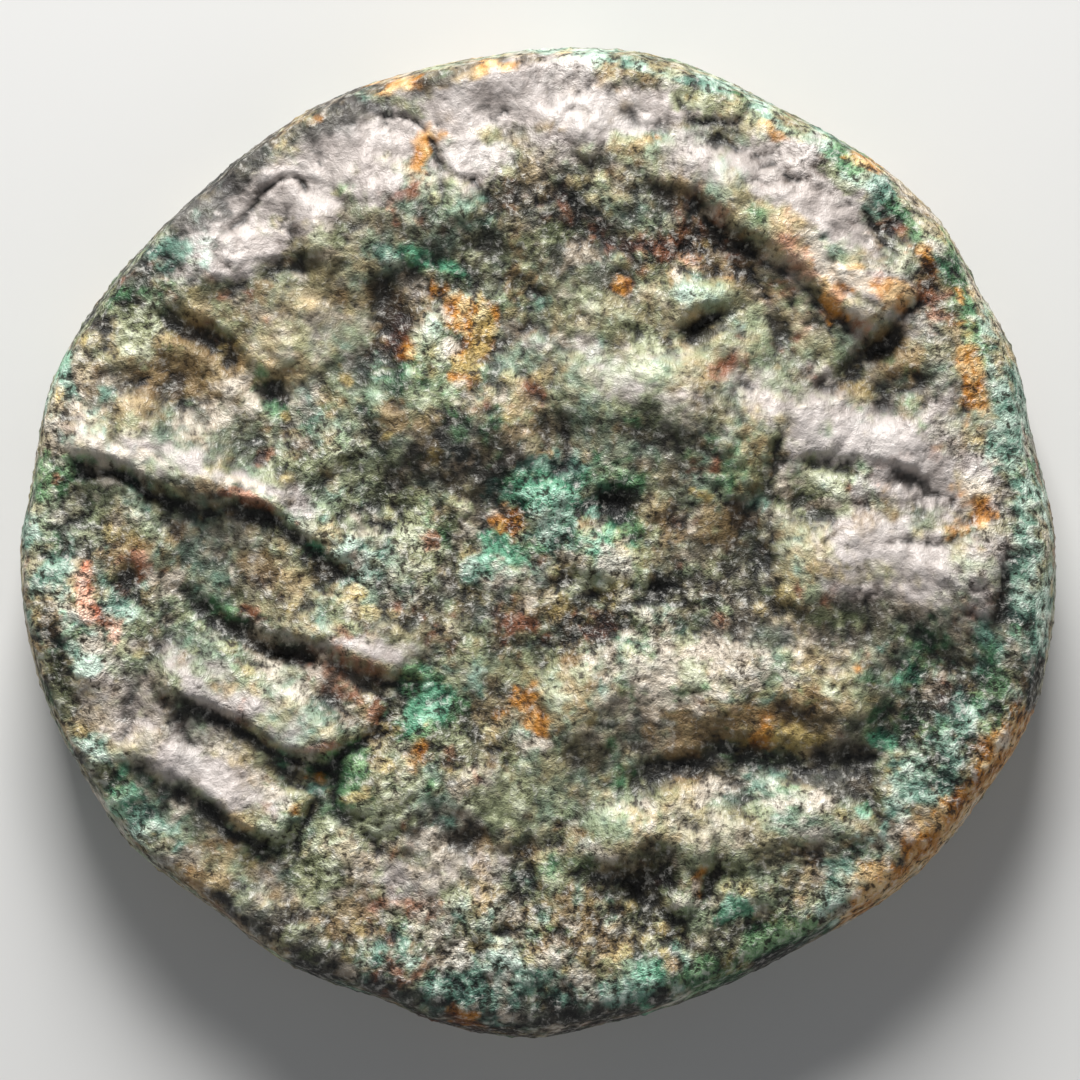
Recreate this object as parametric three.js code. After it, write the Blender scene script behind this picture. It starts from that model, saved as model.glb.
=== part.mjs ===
// An ancient struck bronze coin, worn and corroded, lying with its figured side up.
// Millimetres, +Z up, +X towards the muzzle of the animal head, origin under the coin's middle.
import * as THREE from "three";

// Driving dimensions of the flan, the cast blank that the coin was struck on.
const faceHeight = 2.82; // underside to the figured face, at the coin's middle
const faceDome = 0.3; // the figured face falls this much from its middle to its edge
const girdleHeight = 1.45; // height at which the flan is widest
const girdleSway = 0.16; // the widest line wanders up and down by this much
const shoulderPower = 2.4; // 2 would round the edge as an ellipse, more makes it squarer
const shoulderInset = { mean: 0.62, sway: 0.22, widestAt: -30 }; // face edge to silhouette
const heelInset = { mean: 0.7, sway: 0.14, widestAt: 150 }; // the same on the underside

// The ragged outline of the flan: [bearing from +X in degrees, radius in mm].
const outlineStations = [
  [0, 9.02], [12, 8.82], [22, 8.92], [30, 8.86], [40, 8.97], [60, 8.66], [76, 8.73],
  [98, 8.49], [114, 8.51], [132, 8.45], [146, 8.61], [162, 8.88], [172, 8.83], [181, 8.98],
  [198, 8.96], [208, 8.84], [216, 8.82], [229, 8.5], [240, 8.52], [251, 8.4], [259, 8.55],
  [270, 8.64], [278, 8.48], [297, 8.4], [307, 8.5], [314, 8.7], [330, 8.94], [341, 9.15],
  [350, 9.1],
];

// Mesh spacing, finest on the figured face.
const faceSpacing = 0.25;
const edgeSpacing = 0.45;
const undersideSpacing = 0.85;
const edgeSteps = 4; // rings from the face edge to the girdle, and again below it

// Struck ridges and furrows of the animal head: a line from one point to another, its height (negative
// for a furrow), and how far it slopes away on its left and on its right. bow bends the line to its
// left, bite hollows the slope on its wider side, and head and tail are the shares of its length over
// which its ends die away.
const ridge = (from, to, height, above, below, more = {}) => ({ from, to, height, above, below, ...more });
const ridges = {
  ruffLeft: ridge([-6, 4.4], [-3.4, 5.1], 0.2, 1.3, 0.4, { bow: 0.15 }),
  ruffMiddle: ridge([-4.15, 5.1], [-1, 6.15], 0.28, 1.4, 1.2, { bow: -0.12 }),
  ruffTop: ridge([-1.7, 6.4], [2.1, 6.7], 0.3, 1.2, 1.7, { head: 0.25 }),
  ruffRight: ridge([1.75, 6.35], [3.6, 5.9], 0.18, 1, 0.4, { bow: 0.1 }),
  brow: ridge([2.8, 6.15], [6.2, 3.6], 0.46, 1.7, 0.46, { bow: 0.15, head: 0.35, tail: 0.25 }),
  browRim: ridge([4.05, 6.85], [6.4, 4.95], 0.12, 0.5, 0.3, { bow: 0.25 }),
  firstGroove: ridge([-6.7, 4.25], [-4.3, 2.3], -0.22, 0.3, 0.3),
  lobeLine: ridge([-5.8, 4.4], [-3.65, 4.8], -0.1, 0.2, 0.25, { bow: 0.08 }),
  firstLock: ridge([-8.2, 1.85], [-4.25, 0.6], 0.42, 1.1, 0.34,
    { bow: -0.05, bite: 0.5, head: 0.4, tail: 0.25 }),
  firstLockTip: ridge([-4.7, 0.75], [-2.9, -0.55], 0.22, 0.7, 0.3,
    { bow: 0.05, bite: 0.4, head: 0.5, tail: 0.35 }),
  firstLockSpur: ridge([-4.35, 0.7], [-3.3, 1.8], 0.14, 0.7, 0.3, { bow: 0.05, bite: 0.3, tail: 0.4 }),
  secondLock: ridge([-5, -1.25], [-2, -2.05], 0.28, 0.9, 0.34,
    { bow: -0.06, bite: 0.4, head: 0.4, tail: 0.4 }),
  secondGroove: ridge([-6.35, -0.85], [-3.7, -2.1], -0.2, 0.3, 0.3, { bow: -0.05, head: 0.45 }),
  thirdLock: ridge([-6.6, -2.1], [-3.5, -3.6], 0.36, 0.95, 0.3,
    { bow: -0.05, bite: 0.4, head: 0.45, tail: 0.2 }),
  thirdLockTip: ridge([-3.85, -3.55], [-2.7, -2.65], 0.22, 0.7, 0.3, { bow: -0.08, bite: 0.3 }),
  fourthLock: ridge([-7.2, -3.35], [-4.35, -5.1], 0.34, 1, 0.32,
    { bow: -0.05, bite: 0.3, head: 0.45, tail: 0.25 }),
  fourthLockTip: ridge([-4.5, -5.1], [-4, -4.35], 0.18, 0.5, 0.3, { bow: -0.05, bite: 0.2 }),
  temple: ridge([-2.85, 2.3], [0.4, 1.8], 0.3, 1.9, 1.4, { bow: 0.1, tail: 0.35 }),
  templeFurrow: ridge([-2.8, 4.7], [-2.4, 2.25], -0.16, 0.4, 0.35, { bow: 0.05 }),
  cheek: ridge([0.3, 2.65], [4.15, 1.6], 0.3, 2, 2.6, { bow: 0.05, head: 0.35 }),
  underEye: ridge([-0.15, 2.85], [3.7, 1.8], 0.12, 1.2, 0.6, { bow: 0.05 }),
  snout: ridge([3.5, 1.95], [8.05, 1.25], 0.16, 1.2, 0.8, { bow: 0.05, tail: 0.2 }),
  muzzle: ridge([4.05, -0.45], [8.05, -0.8], 0.34, 1.5, 1.3, { head: 0.25, tail: 0.15 }),
  eyeCorner: ridge([4.65, 2.5], [6.4, 3.6], -0.2, 0.3, 0.35, { bow: -0.05, tail: 0.2 }),
  cornerCrease: ridge([5.6, 2.5], [6.9, 2.9], -0.1, 0.2, 0.3),
  nostrilArch: ridge([4.55, 1.3], [6.6, 0.9], -0.12, 0.16, 0.2, { bow: 0.3 }),
  upperLip: ridge([0.05, -2.75], [6.4, -2.4], 0.3, 1.1, 1.3, { bow: 0.1, head: 0.25, tail: 0.25 }),
  mouth: ridge([1.6, -4.2], [5.95, -3.85], -0.18, 0.35, 0.4, { bow: 0.28 }),
  lowerJaw: ridge([0.55, -5.3], [5.95, -4.75], 0.3, 0.9, 0.6, { bow: -0.05, head: 0.25, tail: 0.25 }),
  chinCurl: ridge([2.8, -4.9], [2.25, -6.3], 0.26, 0.45, 0.35, { bow: 0.05 }),
  chinFurrow: ridge([2.05, -5.2], [1.75, -6.25], -0.15, 0.4, 0.4, { bow: 0.05 }),
  throatFurrow: ridge([-0.4, -5.1], [-0.5, -6.85], -0.15, 0.35, 0.4, { bow: 0.25 }),
  jowlFold: ridge([-3.45, -4.4], [-0.65, -3.85], 0.24, 1.4, 0.7),
  lowerMargin: ridge([-5.4, -6.15], [-1.55, -7.7], 0.18, 0.8, 0.6, { bow: -0.3 }),
  leftMargin: ridge([-8.35, -0.3], [-7.5, -3.95], 0.16, 0.6, 0.5, { bow: 0.1 }),
};
const crestRound = 0.09; // radius that wear has given to every crest

// Round swellings and hollows: centre, two radii, height. turn is the bearing of the first radius, and
// edge is the share of the radius over which it slopes: 1 makes a soft mound, less a flat-topped one.
const swell = (centre, radii, height, more = {}) => ({ centre, radii, height, ...more });
const swells = {
  eyeball: swell([2.8, 4.25], [0.95, 0.6], 0.28, { edge: 0.9 }),
  eyePit: swell([3, 3.6], [0.55, 0.42], -0.26, { turn: 20 }),
  socketSide: swell([4.15, 3.65], [0.6, 0.9], -0.14, { turn: 30 }),
  lowerLid: swell([2.25, 2.9], [0.7, 0.35], 0.1, { turn: -10, edge: 0.8 }),
  eyeCornerHollow: swell([5.8, 2.4], [1.2, 0.6], -0.1),
  templeHollow: swell([6.05, 5.45], [0.8, 0.6], -0.16),
  templeLump: swell([-1.7, 3.65], [0.7, 0.8], 0.12),
  foreheadMound: swell([-4.15, 3.45], [1.3, 1], 0.1),
  firstLockHollow: swell([-6.45, 2.75], [1.9, 0.75], -0.14, { turn: -8 }),
  firstLockEnd: swell([-2.9, -0.1], [0.5, 0.4], 0.14),
  greenNodule: swell([0.15, 0.75], [0.75, 0.65], 0.24, { edge: 0.9 }),
  paleNodule: swell([1.15, -0.25], [0.85, 0.62], 0.26, { edge: 0.9 }),
  noduleHole: swell([1.25, 0.6], [0.62, 0.4], -0.28, { edge: 0.9 }),
  jowlHollow: swell([2.15, -1], [0.6, 0.42], -0.2),
  nostril: swell([4.95, 0.9], [0.55, 0.4], 0.14, { turn: -10, edge: 0.7 }),
  nostrilBack: swell([5.95, 0.5], [0.6, 0.4], -0.1, { turn: -35 }),
  crustPatch: swell([0.65, -1.2], [0.9, 0.5], 0.06, { edge: 0.8 }),
  ruffKnob: swell([0.8, 6.85], [0.32, 0.25], 0.12, { edge: 0.6 }),
  fourthLockHollow: swell([-3.45, -4.05], [0.6, 0.5], -0.12, { turn: -20 }),
  throatHollow: swell([-1.3, -5.3], [1, 0.6], -0.14),
  neckLump: swell([0.4, -7.35], [1.05, 0.7], 0.16),
  marginMound: swell([-3.4, -5.45], [0.9, 0.8], 0.14),
  chinLump: swell([3.5, -6.25], [1, 0.8], 0.14),
  leftMound: swell([-7.65, -2.25], [1, 0.85], 0.14),
  leftHollow: swell([-7.15, -0.8], [0.85, 0.7], -0.12),
};

// The underside is worn flat, with the shallow hollows that are left of a broad punch.
const undersideHollows = {
  punchUpper: swell([-0.6, 4.6], [4.1, 1.35], 0.26, { turn: 6 }),
  punchLeft: swell([-4.9, -0.4], [2.9, 1.25], 0.24, { turn: 84 }),
  punchLower: swell([0.7, -4.7], [3.7, 1.2], 0.22, { turn: -9 }),
  punchRight: swell([5, 0.5], [2.7, 1.15], 0.24, { turn: 97 }),
};
const undersideFlatRadius = 2.2; // the middle that the coin rests on stays flat out to here

// Slow swings that keep the hand-cut lines from running true: [size, wave in X, wave in Y, phase].
const wander = {
  x: [[0.07, 1.9, 2.3, 0.7], [0.05, -4.1, 3.3, 2.1]],
  y: [[0.07, 2.2, -1.8, 4.0], [0.05, 3.7, 4.4, 1.3]],
  face: [[0.045, 1.1, 1.7, 0.4], [0.035, -2.6, 1.9, 2.6], [0.025, 3.4, 2.9, 5.1]],
};

const radians = THREE.MathUtils.degToRad;
const clamp01 = (t) => THREE.MathUtils.clamp(t, 0, 1);
const smooth = (t) => THREE.MathUtils.smoothstep(t, 0, 1);

/** Sum of sine waves at a point. */
function swing(waves, x, y) {
  return waves.reduce((sum, [size, kx, ky, phase]) => sum + size * Math.sin(kx * x + ky * y + phase), 0);
}

/** Silhouette radius at a bearing: a smooth closed curve through the outline's stations. */
function outlineRadius(bearing) {
  const count = outlineStations.length;
  const angle = ((bearing % 360) + 360) % 360;
  const i = outlineStations.findLastIndex(([a]) => a <= angle);
  const at = (k) => {
    const [a, r] = outlineStations[((k % count) + count) % count];
    return [a + 360 * Math.floor(k / count), r];
  };
  const [[a0, r0], [a1, r1], [a2, r2], [a3, r3]] = [at(i - 1), at(i), at(i + 1), at(i + 2)];
  const span = a2 - a1;
  const t = (angle - a1) / span;
  const slope1 = ((r2 - r0) / (a2 - a0)) * span;
  const slope2 = ((r3 - r1) / (a3 - a1)) * span;
  const ease = t * t * (3 - 2 * t);
  const leave = t * (1 - t) ** 2 * slope1;
  const arrive = t * t * (t - 1) * slope2;
  return r1 + (r2 - r1) * ease + leave + arrive;
}

/** Width of the rounded shoulder or heel at a bearing. */
function insetAt({ mean, sway, widestAt }, bearing) {
  return mean + sway * Math.cos(radians(bearing - widestAt));
}

/** The points of a ridge's crest line. */
function crestLine({ from, to, bow = 0 }, steps = 12) {
  const start = new THREE.Vector2(...from);
  const along = new THREE.Vector2(...to).sub(start);
  const left = new THREE.Vector2(-along.y, along.x).normalize();
  return Array.from({ length: steps + 1 }, (_, k) => {
    const s = k / steps;
    return start.clone().addScaledVector(along, s).addScaledVector(left, 4 * bow * s * (1 - s));
  });
}

/** Height that one ridge adds at a point. */
function ridgeHeight(form, line, x, y) {
  const { height, above, below, bite = 0, head = 0.3, tail = 0.3 } = form;
  let nearest = { distance: Infinity };
  for (let i = 0; i + 1 < line.length; i += 1) {
    const [a, b] = [line[i], line[i + 1]];
    const [dx, dy] = [b.x - a.x, b.y - a.y];
    const t = clamp01(((x - a.x) * dx + (y - a.y) * dy) / (dx * dx + dy * dy));
    const distance = Math.hypot(x - a.x - t * dx, y - a.y - t * dy);
    if (distance < nearest.distance) {
      const left = dx * (y - a.y) - dy * (x - a.x) > 0;
      nearest = { distance, left, share: (i + t) / (line.length - 1) };
    }
  }
  const end = Math.min(clamp01(nearest.share / head), clamp01((1 - nearest.share) / tail));
  const taper = Math.sqrt(1 - (1 - end) ** 2);
  const reach = (nearest.left ? above : below) * (0.55 + 0.45 * taper);
  const t = clamp01((Math.hypot(nearest.distance, crestRound) - crestRound) / reach);
  const hollowed = (nearest.left ? above > below : below > above) ? bite : 0;
  const round = 1 - smooth(t);
  const concave = (1 - t) ** 2 * (1 + 0.6 * t);
  return height * THREE.MathUtils.lerp(round, concave, hollowed) * smooth(taper);
}

/** Height that one swelling or hollow adds at a point. */
function swellHeight({ centre, radii, height, turn = 0, edge = 1 }, x, y) {
  const [c, s] = [Math.cos(radians(turn)), Math.sin(radians(turn))];
  const [dx, dy] = [x - centre[0], y - centre[1]];
  const distance = Math.hypot((dx * c + dy * s) / radii[0], (dy * c - dx * s) / radii[1]);
  return height * (1 - smooth((distance - (1 - edge)) / edge));
}

const ridgeLines = Object.values(ridges).map((form) => [form, crestLine(form)]);

/** Height of the figured face. */
function figuredFace(x, y) {
  const [wx, wy] = [x + swing(wander.x, x, y), y + swing(wander.y, x, y)];
  const radius = Math.hypot(x, y);
  let z = faceHeight - faceDome * (radius / outlineStations[0][1]) ** 2 + swing(wander.face, x, y);
  for (const [form, line] of ridgeLines) z += ridgeHeight(form, line, wx, wy);
  for (const mound of Object.values(swells)) z += swellHeight(mound, wx, wy);
  return z;
}

/** Height of the underside: zero where it is worn flat. */
function undersideFace(x, y) {
  if (Math.hypot(x, y) < undersideFlatRadius) return 0;
  return Object.values(undersideHollows).reduce((z, hollow) => z + swellHeight(hollow, x, y), 0);
}

/** Height of the widest line at a bearing. */
function girdleAt(bearing) {
  return girdleHeight + girdleSway * Math.sin(radians(2 * bearing + 40));
}

/** Height of the figured face averaged over a mesh cell, so that a ledge isn't drawn as a saw edge. */
function figuredFaceOverCell(x, y) {
  const sides = 6;
  const reach = faceSpacing * 0.45;
  let sum = figuredFace(x, y);
  for (let k = 0; k < sides; k += 1) {
    const angle = (2 * Math.PI * k) / sides;
    sum += figuredFace(x + reach * Math.cos(angle), y + reach * Math.sin(angle));
  }
  return sum / (sides + 1);
}

/** A point of the figured face, at a share of the way from its middle to its edge. */
function facePoint(share, bearing) {
  const radius = share * (outlineRadius(bearing) - insetAt(shoulderInset, bearing));
  const [x, y] = [radius * Math.cos(radians(bearing)), radius * Math.sin(radians(bearing))];
  return [x, y, figuredFaceOverCell(x, y)];
}

/** A point of the underside, at a share of the way from its middle to its edge. */
function undersidePoint(share, bearing) {
  const radius = share * (outlineRadius(bearing) - insetAt(heelInset, bearing));
  const [x, y] = [radius * Math.cos(radians(bearing)), radius * Math.sin(radians(bearing))];
  return [x, y, undersideFace(x, y)];
}

/** A point of the rounded edge: quarter 0 at the face or underside, 1 at the girdle. */
function edgePoint(inset, rim, quarter, bearing) {
  const angle = (quarter * Math.PI) / 2;
  const [out, drop] = [Math.sin(angle) ** (2 / shoulderPower), Math.cos(angle) ** (2 / shoulderPower)];
  const [x0, y0, z0] = rim(1, bearing);
  const scale = 1 + (insetAt(inset, bearing) * out) / Math.hypot(x0, y0);
  const girdle = girdleAt(bearing);
  return [x0 * scale, y0 * scale, girdle + (z0 - girdle) * drop];
}

/** Rings of points from the middle of the figured face, over the edge, to the underside's middle. */
function buildRings() {
  const meanRadius = outlineStations.reduce((sum, [, r]) => sum + r, 0) / outlineStations.length;
  const ring = (radius, spacing, place) => {
    const count = Math.max(6, Math.round((2 * Math.PI * radius) / spacing));
    return Array.from({ length: count }, (_, k) => place((360 * k) / count));
  };
  const rings = [[facePoint(0, 0)]];
  const faceRadius = meanRadius - shoulderInset.mean;
  const faceSteps = Math.round(faceRadius / faceSpacing);
  for (let k = 1; k <= faceSteps; k += 1) {
    const share = k / faceSteps;
    rings.push(ring(share * faceRadius, faceSpacing, (bearing) => facePoint(share, bearing)));
  }
  const edgeRing = (inset, rim, k) => {
    return ring(meanRadius, edgeSpacing, (bearing) => edgePoint(inset, rim, k / edgeSteps, bearing));
  };
  for (let k = 1; k <= edgeSteps; k += 1) rings.push(edgeRing(shoulderInset, facePoint, k));
  for (let k = edgeSteps - 1; k >= 1; k -= 1) rings.push(edgeRing(heelInset, undersidePoint, k));
  const undersideRadius = meanRadius - heelInset.mean;
  const undersideSteps = Math.round(undersideRadius / undersideSpacing);
  for (let k = undersideSteps; k >= 1; k -= 1) {
    const share = k / undersideSteps;
    rings.push(ring(share * undersideRadius, undersideSpacing, (b) => undersidePoint(share, b)));
  }
  rings.push([undersidePoint(0, 0)]);
  return rings;
}

/** Triangles between two neighbouring rings, which may hold different numbers of points. */
function zipRings(first, firstCount, second, secondCount, triangles) {
  let [i, j] = [0, 0];
  const [firstSides, secondSides] = [firstCount > 1 ? firstCount : 0, secondCount > 1 ? secondCount : 0];
  while (i < firstSides || j < secondSides) {
    const a = first + (i % firstCount);
    const b = second + (j % secondCount);
    const firstNext = (i + 1) / firstCount;
    const secondNext = (j + 1) / secondCount;
    if (j >= secondSides || (i < firstSides && firstNext <= secondNext)) {
      triangles.push(a, b, first + ((i + 1) % firstCount));
      i += 1;
    } else {
      triangles.push(a, b, second + ((j + 1) % secondCount));
      j += 1;
    }
  }
}

/** The whole coin as one closed surface, moved so that the middle of its underside is the origin. */
function coinGeometry() {
  const rings = buildRings();
  const positions = rings.flat(2);
  const triangles = [];
  let first = 0;
  for (let k = 0; k + 1 < rings.length; k += 1) {
    const second = first + rings[k].length;
    zipRings(first, rings[k].length, second, rings[k + 1].length, triangles);
    first = second;
  }
  const geometry = new THREE.BufferGeometry();
  geometry.setAttribute("position", new THREE.Float32BufferAttribute(positions, 3));
  geometry.setIndex(triangles);
  geometry.computeBoundingBox();
  const middle = geometry.boundingBox.getCenter(new THREE.Vector3());
  geometry.translate(-middle.x, -middle.y, -geometry.boundingBox.min.z);
  geometry.computeVertexNormals();
  return geometry;
}

const bronze = new THREE.MeshStandardMaterial({ color: 0x8b8777, roughness: 0.62, metalness: 0.55 });

const coin = new THREE.Mesh(coinGeometry(), bronze);
coin.name = "coin";

const part = new THREE.Group();
part.add(coin);

export default part;
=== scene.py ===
"""An ancient struck bronze coin lying with its figured side up: fine surface, patina, light and camera.

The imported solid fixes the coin's place and size. This script strikes the same flan and relief on a
finer mesh, corrodes its skin with a Geometry Nodes tree, and lays the patina on by named blooms.
Lengths are in millimetres until a mesh is written; Blender's own unit is the metre.
"""

import logging
import math
from dataclasses import dataclass
from enum import Enum
from typing import ClassVar

import bpy
import numpy as np
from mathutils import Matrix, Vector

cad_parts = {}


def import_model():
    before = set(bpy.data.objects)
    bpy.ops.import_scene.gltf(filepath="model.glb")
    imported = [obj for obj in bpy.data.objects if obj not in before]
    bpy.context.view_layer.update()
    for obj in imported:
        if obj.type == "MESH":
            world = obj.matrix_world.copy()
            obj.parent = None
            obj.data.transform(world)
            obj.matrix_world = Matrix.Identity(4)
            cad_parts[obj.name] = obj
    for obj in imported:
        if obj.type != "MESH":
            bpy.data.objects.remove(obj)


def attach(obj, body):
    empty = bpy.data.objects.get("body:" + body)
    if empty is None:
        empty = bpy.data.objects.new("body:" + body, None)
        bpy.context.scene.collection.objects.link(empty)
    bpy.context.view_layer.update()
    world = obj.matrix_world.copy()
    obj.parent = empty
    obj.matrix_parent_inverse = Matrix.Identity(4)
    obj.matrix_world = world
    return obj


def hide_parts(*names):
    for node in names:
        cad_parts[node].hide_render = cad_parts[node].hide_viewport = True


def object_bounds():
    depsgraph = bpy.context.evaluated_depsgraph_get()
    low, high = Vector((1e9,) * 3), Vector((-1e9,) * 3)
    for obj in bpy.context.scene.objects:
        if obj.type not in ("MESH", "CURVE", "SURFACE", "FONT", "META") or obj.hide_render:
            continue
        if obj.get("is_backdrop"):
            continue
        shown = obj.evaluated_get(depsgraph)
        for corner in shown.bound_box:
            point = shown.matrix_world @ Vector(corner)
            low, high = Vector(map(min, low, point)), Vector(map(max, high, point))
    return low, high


LOG = logging.getLogger("coin")
MM = 0.001
NODE = "coin"
SLOT = "patinated_bronze"
# Below the level, and from the inner to the outer radius, patterns fold outward down the coin's edge
FOLD_LEVEL = 2.4
FOLD_INNER = 6.0
FOLD_OUTER = 8.0
FOLD_STRETCH = 1.4

# A screen colour: red, green and blue from 0 to 255
Tone = tuple[int, int, int]
# Something on the figured face: X, Y, two radii, the bearing of the first in degrees, strength
Patch = tuple[float, float, float, float, float, float]
# A thin crack: start, end, depth, half width, bow
Crack = tuple[tuple[float, float], tuple[float, float], float, float, float]


def smooth(t: np.ndarray) -> np.ndarray:
    """Eases t from 0 to 1 and holds it there outside that range."""
    t = np.clip(t, 0.0, 1.0)
    return t * t * (3.0 - 2.0 * t)


def risen(value: np.ndarray, level: float, width: float) -> np.ndarray:
    """Eases from 0 to 1 while the value crosses a band of that width around the level."""
    return smooth((value - level) / width + 0.5)


@dataclass(frozen=True)
class Step:
    """A soft step from 0 to 1 that begins at start and ends a width further on."""

    start: float
    width: float

    def at(self, value: np.ndarray) -> np.ndarray:
        """How far up the step each value is."""
        return smooth((value - self.start) / self.width)


@dataclass(frozen=True)
class Rise:
    """A number that is least at a share of 0 and has grown by growth at a share of 1."""

    least: float
    growth: float

    def at(self, share: np.ndarray) -> np.ndarray:
        """The number at each share."""
        return self.least + self.growth * share


def linear(tone: Tone) -> tuple[float, float, float, float]:
    """Turns a screen colour into the linear colour that a shader reads, by the usual screen curve.

    Args:
        tone: the screen colour.

    Returns:
        Linear red, green, blue and an alpha of 1.
    """
    shares = [value / 255.0 for value in tone]
    red, green, blue = (s / 12.92 if s <= 0.04045 else ((s + 0.055) / 1.055) ** 2.4 for s in shares)
    return (red, green, blue, 1.0)


def linear_rgb(tone: Tone) -> np.ndarray:
    """The linear red, green and blue of a screen colour."""
    return np.array(linear(tone)[:3])


@dataclass(frozen=True)
class Grain:
    """Smooth random hills on a plane, the same on every run.

    wave is the width in mm of the largest hills, octaves is the number of layers, each half as wide
    as the last and turned from it, and gain is the height of each layer against the last.
    """

    SIDE: ClassVar[int] = 256
    MOST_OCTAVES: ClassVar[int] = 12
    STRIDE: ClassVar[tuple[float, float]] = (17.0, 31.0)

    seed: int
    wave: float
    octaves: int = 3
    gain: float = 0.5

    def hills(self, lattice: np.ndarray, x: np.ndarray, y: np.ndarray) -> np.ndarray:
        """One layer of hills, one lattice step apart.

        Args:
            lattice: random heights at the lattice's points.
            x: places along the first lattice side.
            y: places along the second.

        Returns:
            Heights from -1 to 1.
        """
        column, row = np.floor(x), np.floor(y)
        u, v = smooth(x - column), smooth(y - row)
        i, j = column.astype(int) % self.SIDE, row.astype(int) % self.SIDE
        i2, j2 = (i + 1) % self.SIDE, (j + 1) % self.SIDE
        low = lattice[i, j] * (1 - u) + lattice[i2, j] * u
        high = lattice[i, j2] * (1 - u) + lattice[i2, j2] * u
        return low * (1 - v) + high * v

    def at(self, x: np.ndarray, y: np.ndarray, sibling: int = 0) -> np.ndarray:
        """The hills at each place.

        Args:
            x: places in mm.
            y: places in mm.
            sibling: added to the seed, for another pattern of the same make.

        Returns:
            Heights of about -1 to 1.
        """
        random = np.random.default_rng(self.seed + sibling)
        lattice = random.uniform(-1.0, 1.0, (self.SIDE, self.SIDE))
        turns = random.uniform(0.0, 2.0 * math.pi, self.MOST_OCTAVES)
        total, size, height = np.zeros_like(x), self.wave, 1.0
        for turn in turns[:self.octaves]:
            c, s = math.cos(turn) / size, math.sin(turn) / size
            along = x * c - y * s + self.STRIDE[0] * turn
            across = x * s + y * c + self.STRIDE[1] * turn
            total = total + height * self.hills(lattice, along, across)
            size, height = size * 0.5, height * self.gain
        return total


@dataclass(frozen=True)
class Pebbles:
    """Small round clots of crust on a plane, one to each square of a grid that is width mm wide.

    wander is a pattern that makes their outlines ragged, and reach says how far in X and in Y.
    place and radius, in squares, say how each clot lies in its square and how large it grows.
    """

    width: float
    seed: int
    wander: Grain
    reach: tuple[float, float]
    place: Rise = Rise(0.15, 0.7)
    radius: Rise = Rise(0.30, 0.42)
    fullness: float = 1.6

    def at(self, x: np.ndarray, y: np.ndarray) -> tuple[np.ndarray, np.ndarray, np.ndarray]:
        """The clot at each place.

        Args:
            x: places in mm.
            y: places in mm.

        Returns:
            A dome from 0 to 1, and two random numbers from 0 to 1 of the clot it belongs to.
        """
        sway = self.wander.at(x, y)
        x, y = (x + self.reach[0] * sway) / self.width, (y + self.reach[1] * sway) / self.width
        random = np.random.default_rng(self.seed).uniform(0.0, 1.0, (5, Grain.SIDE, Grain.SIDE))
        column, row = np.floor(x), np.floor(y)
        best = np.full(x.shape, -1.0)
        owner = [np.zeros(x.shape), np.zeros(x.shape)]
        for step_x in (-1, 0, 1):
            for step_y in (-1, 0, 1):
                i, j = (column + step_x).astype(int) % Grain.SIDE, (row + step_y).astype(int) % Grain.SIDE
                cx = column + step_x + self.place.at(random[0, i, j])
                cy = row + step_y + self.place.at(random[1, i, j])
                dome = 1 - np.hypot(x - cx, y - cy) / self.radius.at(random[2, i, j])
                nearer = dome > best
                best = np.where(nearer, dome, best)
                owner = [np.where(nearer, random[3 + k, i, j], held) for k, held in enumerate(owner)]
        return smooth(best * self.fullness), owner[0], owner[1]


LARGE_CLOTS = Pebbles(0.34, 91, Grain(13, 0.3), (0.05, 0.0))
SMALL_CLOTS = Pebbles(0.21, 92, Grain(13, 0.2, 2), (0.0, 0.04))


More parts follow.
